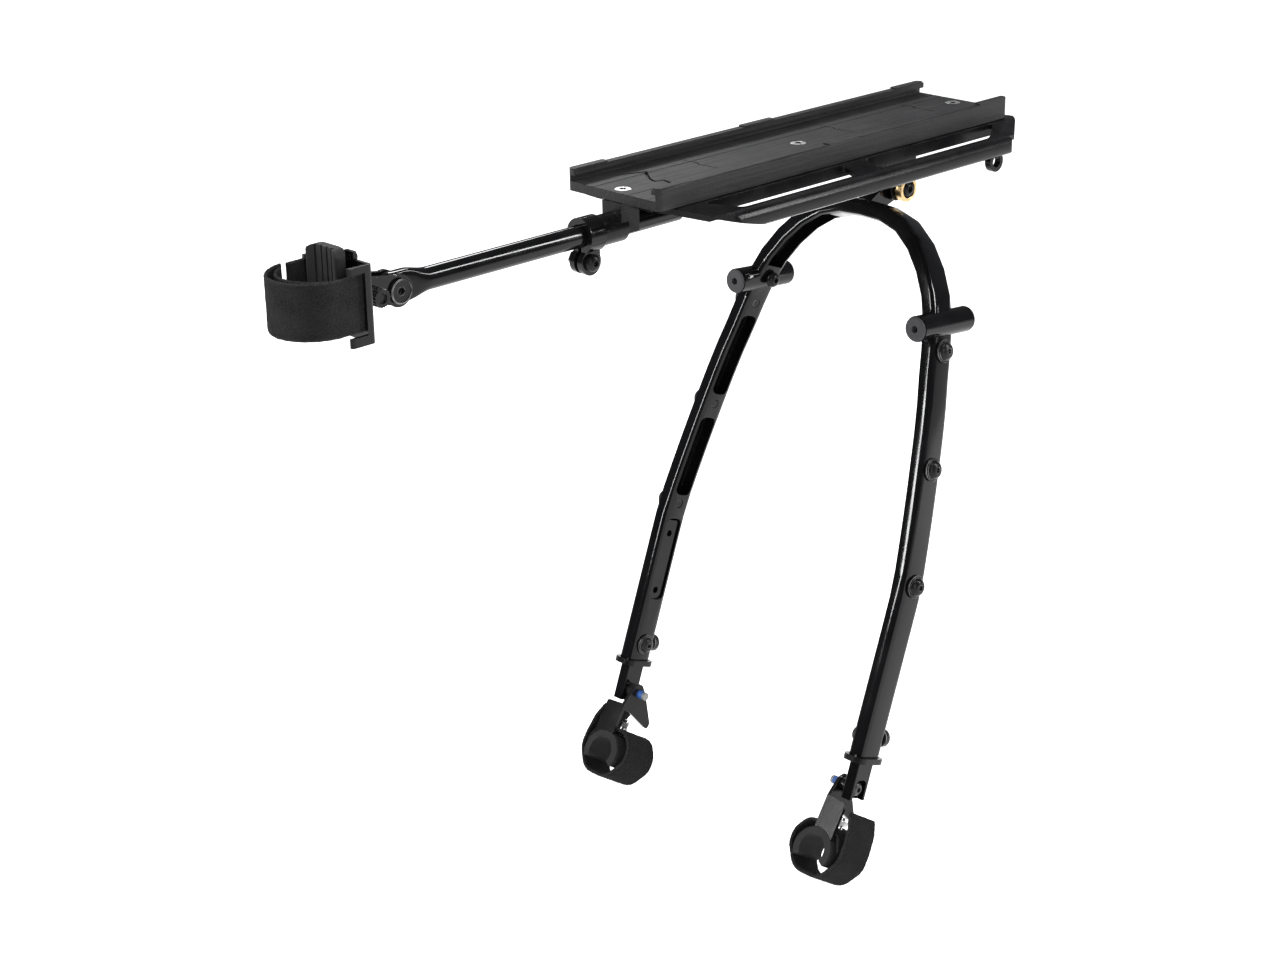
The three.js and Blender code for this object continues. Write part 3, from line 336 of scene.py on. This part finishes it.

# ---------------------------------------------------------------- deck screws
# Three countersunk stainless screws hold the deck to the spine. Their turned heads keep fine ring marks
# and rims round the hex socket painted bright, partly as wear and partly as a painted highlight.


def machined_marks_group():
    tree, given, result = shader_group(
        "machined marks", [("Fineness", "NodeSocketFloat", 2600.0)],
        [("Height", "NodeSocketFloat"), ("Tint", "NodeSocketFloat")],
    )
    place = shader_node(tree, "ShaderNodeTexCoord").outputs["Object"]
    stretched = shader_node(
        tree, "ShaderNodeMapping", {"Vector": place, "Scale": (0.25, 1.0, 1.0)}).outputs[0]
    marks = shader_node(
        tree, "ShaderNodeTexNoise", {"Vector": stretched, "Scale": given["Fineness"], "Detail": 4.0})
    stain = shader_node(
        tree, "ShaderNodeTexNoise", {"Vector": place, "Scale": 320.0, "Detail": 3.0}).outputs["Fac"]
    tree.links.new(marks.outputs["Fac"], result["Height"])
    tree.links.new(spread(tree, stain, 0.35, 0.7), result["Tint"])
    return tree


machined_marks = machined_marks_group()


def bare_metal(name, bright, dull, rough, depth=0.00003):
    made, tree, surface = new_finish(name, rough, metallic=1.0)
    marks = placed_group(tree, machined_marks)
    edge_wear_and_highlight_mask = placed_group(tree, edge_wear_and_highlight, Amount=0.6)["Mask"]
    colour = shader_mix(tree, marks["Tint"], (*bright, 1), (*dull, 1))
    lightest = tuple(min(1.0, c * 1.25) for c in bright)
    # Edges painted brighter: partly polished wear, partly a painted highlight on the rims.
    tree.links.new(shader_mix(tree, edge_wear_and_highlight_mask, colour, (*lightest, 1)), surface.inputs["Base Color"])
    tree.links.new(
        spread(tree, marks["Tint"], 0.0, 1.0, rough - 0.06, rough + 0.14), surface.inputs["Roughness"])
    relief(tree, surface, marks["Height"], depth)
    return made


stainless = bare_metal("turned stainless", (0.74, 0.74, 0.73), (0.5, 0.5, 0.5), 0.24)


def shaded_socket(finish, centre, radius):
    """Grease and shade in the hex socket of an upright screw: the finish goes dark near its axis."""
    tree = finish.node_tree
    surface = tree.nodes["Principled BSDF"]
    clean = surface.inputs["Base Color"].links[0].from_socket
    place = shader_node(tree, "ShaderNodeTexCoord").outputs["Object"]
    flat = shader_node(
        tree, "ShaderNodeVectorMath", {0: place, 1: (1, 1, 0)}, operation="MULTIPLY").outputs[0]
    apart = shader_node(
        tree, "ShaderNodeVectorMath", {0: flat, 1: (centre.x, centre.y, 0)}, operation="DISTANCE",
    ).outputs["Value"]
    deep = spread(tree, apart, radius, radius - 0.0002)
    tree.links.new(shader_mix(tree, deep, clean, (0.012, 0.012, 0.012, 1)), surface.inputs["Base Color"])


for spot in ("front", "middle", "rear"):
    screw_low, screw_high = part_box(f"deck_screw_{spot}")
    screw_finish = bare_metal(f"deck screw {spot}", (0.8, 0.8, 0.79), (0.62, 0.62, 0.62), 0.3)
    shaded_socket(screw_finish, (screw_low + screw_high) / 2, 0.0019)
    rounded_piece(f"deck_screw_{spot}", screw_finish, edge=0.0002)

# ---------------------------------------------------------------- spine, boom socket and wings
# A forged aluminium spine runs under the deck and carries the two sloping side wings with their round rails.
# All are satin black powder coat, which leaves a faint orange peel; its edges are painted lighter on the rails,
# partly as wear and partly as a painted highlight.


def orange_peel_group():
    tree, given, result = shader_group(
        "orange peel", [("Ripple Size", "NodeSocketFloat", 700.0), ("Speck Size", "NodeSocketFloat", 2600.0)],
        [("Height", "NodeSocketFloat"), ("Tint", "NodeSocketFloat")],
    )
    place = shader_node(tree, "ShaderNodeTexCoord").outputs["Object"]
    ripple = shader_node(
        tree, "ShaderNodeTexNoise", {"Vector": place, "Scale": given["Ripple Size"], "Detail": 2.0})
    speck = shader_node(
        tree, "ShaderNodeTexNoise", {"Vector": place, "Scale": given["Speck Size"], "Detail": 2.0})
    haze = shader_node(
        tree, "ShaderNodeTexNoise", {"Vector": place, "Scale": 38.0, "Detail": 5.0}).outputs["Fac"]
    tree.links.new(
        shader_sum(tree, "MULTIPLY_ADD", speck.outputs["Fac"], 0.25, ripple.outputs["Fac"]), result["Height"])
    tree.links.new(spread(tree, haze, 0.35, 0.68), result["Tint"])
    return tree


orange_peel = orange_peel_group()


def coated_metal(name, dark, light, rough, coat=0.0, depth=0.00004, wear_and_highlight=0.35, dust=0.06, ripple=700.0):
    made, tree, surface = new_finish(name, rough, coat=coat, specular=0.12)
    peel = placed_group(tree, orange_peel, Ripple_Size=ripple)
    edge_wear_and_highlight_mask = placed_group(tree, edge_wear_and_highlight, Amount=wear_and_highlight)["Mask"]
    dusty = placed_group(tree, settled_dust, Amount=dust)["Mask"]
    colour = shader_mix(tree, peel["Tint"], (*dark, 1), (*light, 1))
    # Edges painted light grey: partly rubbed coating, partly a painted highlight along the bevels.
    colour = shader_mix(tree, edge_wear_and_highlight_mask, colour, (0.3, 0.3, 0.3, 1))
    colour = shader_mix(tree, dusty, colour, (0.2, 0.2, 0.2, 1))
    tree.links.new(colour, surface.inputs["Base Color"])
    tree.links.new(
        spread(tree, peel["Tint"], 0.0, 1.0, rough - 0.03, rough + 0.05), surface.inputs["Roughness"])
    relief(tree, surface, peel["Height"], depth)
    return made


satin_coat = coated_metal("satin black coat", (0.003, 0.003, 0.0035), (0.006, 0.006, 0.0065), 0.24, wear_and_highlight=0.25)
for node, edge in (("spine", 0.0006), ("boom_socket", 0.0005), ("wing_left", 0.0006), ("wing_right", 0.0006)):
    rounded_piece(node, satin_coat, edge=edge)

# ---------------------------------------------------------------- clamp collar
# A split aluminium collar squeezes the socket on the boom, pulled shut by one black steel screw and nut
# through its two ears.
gloss_coat = coated_metal(
    "gloss black coat", (0.0022, 0.0022, 0.0025), (0.0045, 0.0045, 0.005), 0.08, coat=0.1,
    depth=0.00002, wear_and_highlight=0.12, dust=0.02, ripple=260.0)
# Black oxide takes strong edge lightening: worn steel and a painted highlight on the screw rims.
black_oxide = coated_metal(
    "black oxide steel", (0.005, 0.005, 0.005), (0.012, 0.012, 0.012), 0.24, wear_and_highlight=1.0, dust=0.0)
rounded_piece("clamp_collar", gloss_coat, edge=0.0005)
for node in ("clamp_screw", "clamp_nut"):
    rounded_piece(node, black_oxide, edge=0.00025)

# ---------------------------------------------------------------- leg fork and pivot
# A fork under the spine takes the crown of the hooped leg. Two bronze spacer rings, turned bright on their
# faces, sit outside its cheeks on a black steel bolt.
turned_bronze = bare_metal("turned bronze", (0.60, 0.44, 0.23), (0.42, 0.29, 0.14), 0.3)
rounded_piece("leg_fork", satin_coat, edge=0.0005)
for side in ("left", "right"):
    rounded_piece(f"pivot_ring_{side}", turned_bronze, edge=0.0005)
for node in ("pivot_bolt", "pivot_nut"):
    rounded_piece(node, black_oxide, edge=0.00025)

# ---------------------------------------------------------------- hooped leg
# The hoop is a bent rectangular aluminium tube in gloss black, with windows milled through its inner wall
# and a cross tube for a pannier's lower hook welded through each side.
rounded_piece("arch_frame", gloss_coat, edge=0.0003, flatten=0.2)

# ---------------------------------------------------------------- peg plugs
# Grey moulded plugs close both ends of each cross tube. Each is pressed in and has a moulded hex recess
# in its face.
plug_moulding = moulded_plastic(
    "plug plastic", (0.035, 0.035, 0.037), (0.06, 0.06, 0.062), 0.6, flow=0.0, wear_and_highlight=0.4)
for side in ("left", "right"):
    for end in ("front", "rear"):
        rounded_piece(f"peg_plug_{end}_{side}", plug_moulding, edge=0.0003)

# ---------------------------------------------------------------- screws on the legs
# Blacked steel button heads fill the threaded inserts on the outer faces, and one on each inner face ties
# the cross tube to the leg. A screw with a round knob locks each slider in its leg.
leg_screws = ("side_screw_upper", "side_screw_middle", "side_screw_lower", "peg_screw", "leg_clamp_screw",
              "leg_clamp_knob")
for side in ("left", "right"):
    for node in leg_screws:
        rounded_piece(f"{node}_{side}", black_oxide, edge=0.0004)

# ---------------------------------------------------------------- collars and sliders
# A thin moulded plastic collar lines the mouth of each leg. A flat aluminium slider, gloss black, runs
# in it and carries the foot.
collar_moulding = moulded_plastic(
    "black moulded plastic", (0.003, 0.003, 0.003), (0.007, 0.007, 0.0075), 0.2,
    flow=0.0, depth=0.00003, wear_and_highlight=0.3, dust=0.03)
for side in ("left", "right"):
    rounded_piece(f"tube_collar_{side}", collar_moulding, edge=0.0008)
    rounded_piece(f"slider_{side}", gloss_coat, edge=0.0005)

# ---------------------------------------------------------------- foot brackets
# Each foot is a stamped steel bracket, blacked, whose cut edge is painted pale along the front, partly as
# wear on the cut edge and partly as a painted highlight. It hinges on a screw locked with blue thread compound.


def thread_locked(name):
    """Black screw with blue compound near its inboard tip and bare steel at the very end."""
    made, tree, surface = new_finish(name, 0.35, specular=0.5)
    place = shader_node(tree, "ShaderNodeTexCoord").outputs["Object"]
    across = shader_node(tree, "ShaderNodeSeparateXYZ", {0: place}).outputs["Y"]
    reach = shader_sum(tree, "ABSOLUTE", across)
    blotch = shader_node(
        tree, "ShaderNodeTexNoise", {"Vector": place, "Scale": 900.0, "Detail": 3.0}).outputs["Fac"]
    ragged = shader_sum(tree, "MULTIPLY_ADD", blotch, 0.0012, reach)
    blue_from, blue_to = 0.0800, 0.0845
    blue = shader_sum(tree, "MULTIPLY", spread(tree, ragged, blue_from, blue_from + 0.0003),
                      spread(tree, ragged, blue_to, blue_to - 0.0003))
    edge_wear_and_highlight_mask = placed_group(tree, edge_wear_and_highlight, Amount=0.7)["Mask"]
    bare_tip = spread(tree, ragged, blue_from + 0.0003, blue_from - 0.0002)
    # Edges painted grey: partly wear, partly a painted highlight on the rims.
    colour = shader_mix(tree, edge_wear_and_highlight_mask, (0.014, 0.014, 0.015, 1), (0.3, 0.3, 0.3, 1))
    colour = shader_mix(tree, bare_tip, colour, (0.16, 0.16, 0.15, 1))
    tree.links.new(shader_mix(tree, blue, colour, (0.012, 0.075, 0.28, 1)), surface.inputs["Base Color"])
    tree.links.new(spread(tree, blue, 0.0, 1.0, 0.33, 0.6), surface.inputs["Roughness"])
    relief(tree, surface, blotch, 0.00005)
    return made


# Strong edge lightening paints the cut edge pale: wear and a painted highlight.
stamped_steel = coated_metal(
    "stamped black steel", (0.004, 0.004, 0.004), (0.009, 0.009, 0.009), 0.2, wear_and_highlight=1.2)
for side in ("left", "right"):
    rounded_piece(f"foot_bracket_{side}", stamped_steel, edge=0.0004)
    rounded_piece(
        f"foot_pivot_screw_{side}", thread_locked(f"pivot screw {side}"), edge=0.00025)
    rounded_piece(f"foot_screw_{side}", stainless, edge=0.0002)

# ---------------------------------------------------------------- cradle pads
# A thick moulded rubber C lines each foot and grips the seat stay. It sits against the foot bracket, and
# has a fine grain and a little dust on its upper faces.


def moulded_rubber(name, dark, light, rough=0.75, grain=2200.0, depth=0.00015):
    made, tree, surface = new_finish(name, rough, specular=0.12)
    surface.inputs["Sheen Weight"].default_value = 0.04
    surface.inputs["Sheen Roughness"].default_value = 0.4
    grained = placed_group(tree, moulded_grain, Grain_Size=grain, Flow_Lines=0.0)
    edge_wear_and_highlight_mask = placed_group(tree, edge_wear_and_highlight, Amount=0.8)["Mask"]
    dusty = placed_group(tree, settled_dust, Amount=0.25)["Mask"]
    colour = shader_mix(tree, grained["Tint"], (*dark, 1), (*light, 1))
    # Edges painted lighter: partly wear, partly a painted highlight along the bevels.
    colour = shader_mix(tree, edge_wear_and_highlight_mask, colour, (0.11, 0.11, 0.11, 1))
    tree.links.new(shader_mix(tree, dusty, colour, (0.13, 0.13, 0.13, 1)), surface.inputs["Base Color"])
    tree.links.new(
        spread(tree, grained["Tint"], 0.0, 1.0, rough - 0.1, rough + 0.1), surface.inputs["Roughness"])
    relief(tree, surface, grained["Height"], depth)
    return made


cradle_rubber = moulded_rubber("cradle rubber", (0.016, 0.016, 0.016), (0.03, 0.03, 0.03))
for side in ("left", "right"):
    rounded_piece(f"cradle_pad_{side}", cradle_rubber, edge=0.0006)

# ---------------------------------------------------------------- foot straps
# A hook and loop strap closes each cradle round the stay: a loop of brushed webbing whose free end is pressed
# back on its outer side and stands a little proud at the top.
foot_lean = math.radians(34)
foot_along = Vector((math.cos(foot_lean), 0, math.sin(foot_lean)))
foot_up = Vector((-math.sin(foot_lean), 0, math.cos(foot_lean)))


def brushed_webbing(name, dark, light, rim):
    """Nap of a hook and loop strap, laid by the strap's own lengthwise and crosswise distances in its UVs."""
    made, tree, surface = new_finish(name, 0.95, specular=0.05)
    surface.inputs["Sheen Weight"].default_value = 0.03
    surface.inputs["Sheen Roughness"].default_value = 0.5
    along = shader_node(tree, "ShaderNodeUVMap", uv_map="strap").outputs["UV"]
    nap = shader_node(
        tree, "ShaderNodeTexNoise", {"Vector": along, "Scale": 1500.0, "Detail": 5.0, "Roughness": 0.75})
    tufts = shader_node(tree, "ShaderNodeTexVoronoi", {"Vector": along, "Scale": 900.0})
    drift = shader_node(
        tree, "ShaderNodeTexNoise", {"Vector": along, "Scale": 90.0, "Detail": 4.0}).outputs["Fac"]
    speck = spread(tree, nap.outputs["Fac"], 0.42, 0.78)
    colour = shader_mix(tree, speck, (*dark, 1), (*light, 1))
    colour = shader_mix(tree, spread(tree, drift, 0.35, 0.75, 0.0, 0.4), colour, (*light, 1))
    frayed = shader_node(tree, "ShaderNodeAttribute", attribute_name="edge").outputs["Fac"]
    fibres = shader_sum(tree, "MULTIPLY", frayed, spread(tree, nap.outputs["Fac"], 0.4, 0.6))
    tree.links.new(shader_mix(tree, fibres, colour, (*rim, 1)), surface.inputs["Base Color"])
    height = shader_sum(tree, "MULTIPLY_ADD", tufts.outputs["Distance"], 0.5, nap.outputs["Fac"])
    relief(tree, surface, height, 0.0009)
    return made


def rounded_path(corners, radius, step=0.0008):
    """Points at even steps along straight runs joined by arcs."""
    count = len(corners)
    dense = []
    for i, corner in enumerate(corners):
        if i in (0, count - 1):
            dense.append(corner)
            continue
        before, after = corners[i - 1], corners[i + 1]
        into, out = (before - corner), (after - corner)
        bend = math.pi - into.angle(out)
        cut = min(radius * math.tan(bend / 2), into.length * 0.48, out.length * 0.48)
        start, end = corner + into.normalized() * cut, corner + out.normalized() * cut
        steps = max(3, int(bend / math.radians(7)))
        for k in range(steps + 1):
            share = k / steps
            dense.append((1 - share) ** 2 * start + 2 * share * (1 - share) * corner + share ** 2 * end)
    path = [dense[0]]
    for here, there in zip(dense, dense[1:]):
        pieces_in_run = max(1, round((there - here).length / step))
        path += [here.lerp(there, k / pieces_in_run) for k in range(1, pieces_in_run + 1)]
    return path


def strap_ribbon(name, path, across, width, thick, finish):
    """A ribbon of even thickness along a path of its middle, slightly crowned, its long edges frayed."""
    pile_height, pile_pitch, fringe_pitch = 0.00028, 1700.0, 2300.0
    inner_columns = [k / 10 for k in range(-4, 5)]
    columns = [-0.5, -0.485, -0.46, *inner_columns, 0.46, 0.485, 0.5]
    lift = [0.12, 0.36, 0.5, *[0.5] * len(inner_columns), 0.5, 0.36, 0.12]
    count = len(path)
    reach, travelled = 0.0, []
    for i, point in enumerate(path):
        reach += (point - path[i - 1]).length if i else 0.0
        travelled.append(reach)
    form = bmesh.new()
    fray = form.verts.layers.float.new("edge")
    uv = form.loops.layers.uv.new("strap")
    rings, spots = [], {}
    for i, point in enumerate(path):
        forward = (path[min(i + 1, count - 1)] - path[max(i - 1, 0)]).normalized()
        normal = forward.cross(across).normalized()
        ring = []
        end = min(travelled[i], reach - travelled[i])
        squeeze = min(1.0, 0.45 + end / (1.2 * thick))
        for face in (1, -1):
            order = range(len(columns)) if face == 1 else range(len(columns) - 1, -1, -1)
            for k in order:
                offset = normal * face * thick * lift[k] * squeeze
                spot = point + across * width * columns[k] + offset
                pile = noise.noise(spot * pile_pitch) * pile_height
                fringe = math.copysign(
                    abs(noise.noise(spot * fringe_pitch)) * pile_height * 1.3, columns[k] or 1.0)
                spot += normal * face * pile + across * (fringe if abs(columns[k]) > 0.47 else 0.0)
                vertex = form.verts.new(spot)
                vertex[fray] = 1.0 if k in (0, 1, len(columns) - 2, len(columns) - 1) else 0.0
                spots[vertex] = (travelled[i], width * columns[k] + (0.5 if face == -1 else 0.0))
                ring.append(vertex)
        rings.append(ring)
    for near, far in zip(rings, rings[1:]):
        for k in range(len(near)):
            nxt = (k + 1) % len(near)
            form.faces.new((near[k], near[nxt], far[nxt], far[k]))
    form.faces.new(list(reversed(rings[0])))
    form.faces.new(rings[-1])
    bmesh.ops.recalc_face_normals(form, faces=form.faces)
    for face in form.faces:
        face.smooth = True
        for loop in face.loops:
            loop[uv].uv = spots[loop.vert]
    mesh = bpy.data.meshes.new(name)
    form.to_mesh(mesh)
    form.free()
    mesh.set_sharp_from_angle(angle=math.radians(70))
    mesh.materials.append(finish)
    strap = bpy.data.objects.new(name, mesh)
    bpy.context.scene.collection.objects.link(strap)
    return strap, reach


foot_webbing = brushed_webbing(
    "foot strap webbing", (0.003, 0.003, 0.003), (0.015, 0.015, 0.0155), (0.04, 0.04, 0.04))
strap_width, strap_thick = 0.027, 0.0021
for side, out in (("left", 1), ("right", -1)):
    pivot_low, pivot_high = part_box(f"foot_pivot_screw_{side}")
    pivot = Vector(((pivot_low.x + pivot_high.x) / 2, 0, (pivot_low.z + pivot_high.z) / 2))
    half_round, top, bottom, middle_y, centre_x = 0.0183, -0.0246, -0.0556, 0.0885, -0.0076
    # the loop in the foot's own plane, outward and upward; it starts inside, under its own free end
    plan = [
        (half_round - 0.0026, -0.0380), (half_round * 0.60, top - 0.0026), (-half_round * 0.62, top - 0.0002),
        (-half_round, top - 0.0100), (-half_round, bottom + 0.0125), (-half_round * 0.50, bottom),
        (half_round * 0.50, bottom), (half_round, bottom + 0.0125), (half_round, top - 0.0085),
        (half_round - 0.0014, top + 0.0020), (half_round - 0.0052, top + 0.0112),
    ]
    corners = [
        pivot + foot_along * centre_x + Vector((0, out * (middle_y + y), 0)) + foot_up * z for y, z in plan
    ]
    path = rounded_path(corners, 0.0115)
    strap, strap_length = strap_ribbon(
        f"foot_strap_webbing_{side}", path, foot_along, strap_width, strap_thick, foot_webbing)
    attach(strap, f"foot_{side}")
    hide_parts(f"foot_strap_{side}")

# ---------------------------------------------------------------- boom
# The boom is a drawn tube in gloss black whose front end is forged flat into an eye. The eye turns on a
# black hex bolt between the two link plates of the seat post clamp.
boom_low, boom_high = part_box("boom_tube")
eye_low, eye_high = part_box("eye_bolt")
eye_centre = Vector(((eye_low.x + eye_high.x) / 2, 0, (eye_low.z + eye_high.z) / 2))
tube_radius, tube_bore, bore_depth, mouth_chamfer = 0.006, 0.0045, 0.0300, 0.0004
eye_radius, eye_half = boom_high.x - eye_centre.x - 0.00002, 0.0037
forge_from, forge_to = eye_centre.x - 0.0230, eye_centre.x - 0.0080
boom_sides, forge_rings, eye_rings = 48, 16, 14
flattest_top = 0.6


def boom_section(x):
    """One ring of the boom at x: round along the tube, ever flatter and taller towards the eye."""
    share = min(1.0, max(0.0, (x - forge_from) / (forge_to - forge_from)))
    share = share * share * (3 - 2 * share)
    wide = tube_radius + (eye_half - tube_radius) * share
    tall = tube_radius + (eye_radius - tube_radius) * share
    if x > eye_centre.x:
        tall = math.sqrt(max(0.0, eye_radius ** 2 - (x - eye_centre.x) ** 2))
    squareness = 1.0 - 0.62 * share
    ring = []
    for i in range(boom_sides):
        turn = 2 * math.pi * i / boom_sides
        across, rise = math.sin(turn), math.cos(turn)
        ring.append((
            x, wide * math.copysign(abs(across) ** squareness, across),
            eye_centre.z + tall * math.copysign(abs(rise) ** max(squareness, flattest_top), rise),
        ))
    return ring


def mouth_section(x, radius):
    """One ring of the boom's open rear end, plain and round."""
    turns = [2 * math.pi * i / boom_sides for i in range(boom_sides)]
    return [(x, radius * math.sin(turn), eye_centre.z + radius * math.cos(turn)) for turn in turns]


stops = [boom_low.x + 0.0002, boom_low.x + 0.0008, eye_centre.x - 0.1000]
stops += [forge_from + (forge_to - forge_from) * k / forge_rings for k in range(forge_rings + 1)]
stops += [eye_centre.x - 0.0040, eye_centre.x]
stops += [eye_centre.x + eye_radius * math.sin(math.pi / 2 * k / eye_rings) for k in range(1, eye_rings)]
form = bmesh.new()
sections = [
    mouth_section(boom_low.x + bore_depth, tube_bore), mouth_section(boom_low.x, tube_bore),
    mouth_section(boom_low.x, tube_radius - mouth_chamfer), *[boom_section(x) for x in stops],
]
rings = [[form.verts.new(point) for point in section] for section in sections]
for near, far in zip(rings, rings[1:]):
    for k in range(boom_sides):
        nxt = (k + 1) % boom_sides
        form.faces.new((near[k], near[nxt], far[nxt], far[k]))
form.faces.new(list(reversed(rings[0])))
form.faces.new(rings[-1])
bmesh.ops.recalc_face_normals(form, faces=form.faces)
for face in form.faces:
    face.smooth = True
boom_mesh = bpy.data.meshes.new("boom_tube_drawn")
form.to_mesh(boom_mesh)
form.free()
boom_mesh.set_sharp_from_angle(angle=math.radians(38))
boom_mesh.materials.append(gloss_coat)
boom_drawn = bpy.data.objects.new("boom_tube_drawn", boom_mesh)
bpy.context.scene.collection.objects.link(boom_drawn)
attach(boom_drawn, "boom")
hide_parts("boom_tube")
rounded_piece("link_fork", gloss_coat, edge=0.0005)
rounded_piece("eye_bolt", black_oxide, edge=0.0003)

# ---------------------------------------------------------------- thumb screw
# A knurled thumb screw of blacked steel tightens the seat post strap. It is machined in one piece and
# turned by hand.
rounded_piece("thumb_screw", black_oxide, edge=0.00015)

# ---------------------------------------------------------------- pad bracket
# A glossy moulded plastic plate carries the pad and guides the strap through its two cheeks. A small
# blacked steel screw goes into the tab on its top.
rounded_piece("pad_bracket", collar_moulding, edge=0.0006)
rounded_piece("tab_screw", black_oxide, edge=0.0002)

# ---------------------------------------------------------------- post pad
# The pad is moulded rubber with upright grooves down its face, rounded at the top. It sits on the
# bracket's plate and bears on the seat post.
pad_rubber = moulded_rubber("pad rubber", (0.014, 0.014, 0.014), (0.026, 0.026, 0.026), 0.6)
rounded_piece("post_pad", pad_rubber, edge=0.0006)

# ---------------------------------------------------------------- seat post strap
# A wide hook and loop strap passes behind the pad, through both cheeks and round the post, then laps over
# itself: its inner layer lies a few millimetres inside the outer one at the front.
post_webbing = brushed_webbing(
    "seat post strap webbing", (0.006, 0.006, 0.0065), (0.03, 0.03, 0.031), (0.05, 0.05, 0.05))
low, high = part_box("post_strap")
post_width, post_thick = high.z - low.z - 0.0003, 0.0017
loop_radius = high.y - post_thick / 2 - 0.0001
rear_line = low.x + post_thick / 2 + 0.0001
mid_height = (low.z + high.z) / 2
corner_radius, turn_step = 0.0024, 3
upright = Vector((0, 0, 1))


def post_point(angle, radius):
    return Vector((radius * math.cos(angle), radius * math.sin(angle), mid_height))


post_path = rounded_path([
    Vector((-0.0005, -loop_radius + 0.0012, mid_height)),
    Vector((rear_line, -loop_radius + 0.0004, mid_height)),
    Vector((rear_line, loop_radius, mid_height)), Vector((-0.0004, loop_radius, mid_height)),
], corner_radius)
post_path += [post_point(math.radians(a), loop_radius) for a in range(89, -87, -turn_step)]
strap, strap_length = strap_ribbon(
    "seat_post_strap_webbing", post_path, upright, post_width, post_thick, post_webbing)
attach(strap, "post_clamp")
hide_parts("post_strap")
lap_width, lap_touch, lap_inset = post_width - 0.0008, 0.0021, 0.0052
lap_spread, lap_fullness, lap_end, lap_step = 1.1, 0.7, 78, 4


def lap_radius(degrees):
    """The inner lap touches the outer layer at its ends and hangs lap_inset inside it at the front."""
    hang = math.cos(math.radians(degrees * lap_spread)) ** lap_fullness
    return loop_radius - lap_touch - (lap_inset - lap_touch) * hang


lap_path = [post_point(math.radians(a), lap_radius(a)) for a in range(lap_end, -lap_end - 1, -lap_step)]
lap, lap_length = strap_ribbon(
    "seat_post_strap_inner_lap", lap_path, upright, lap_width, post_thick, post_webbing)
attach(lap, "post_clamp")
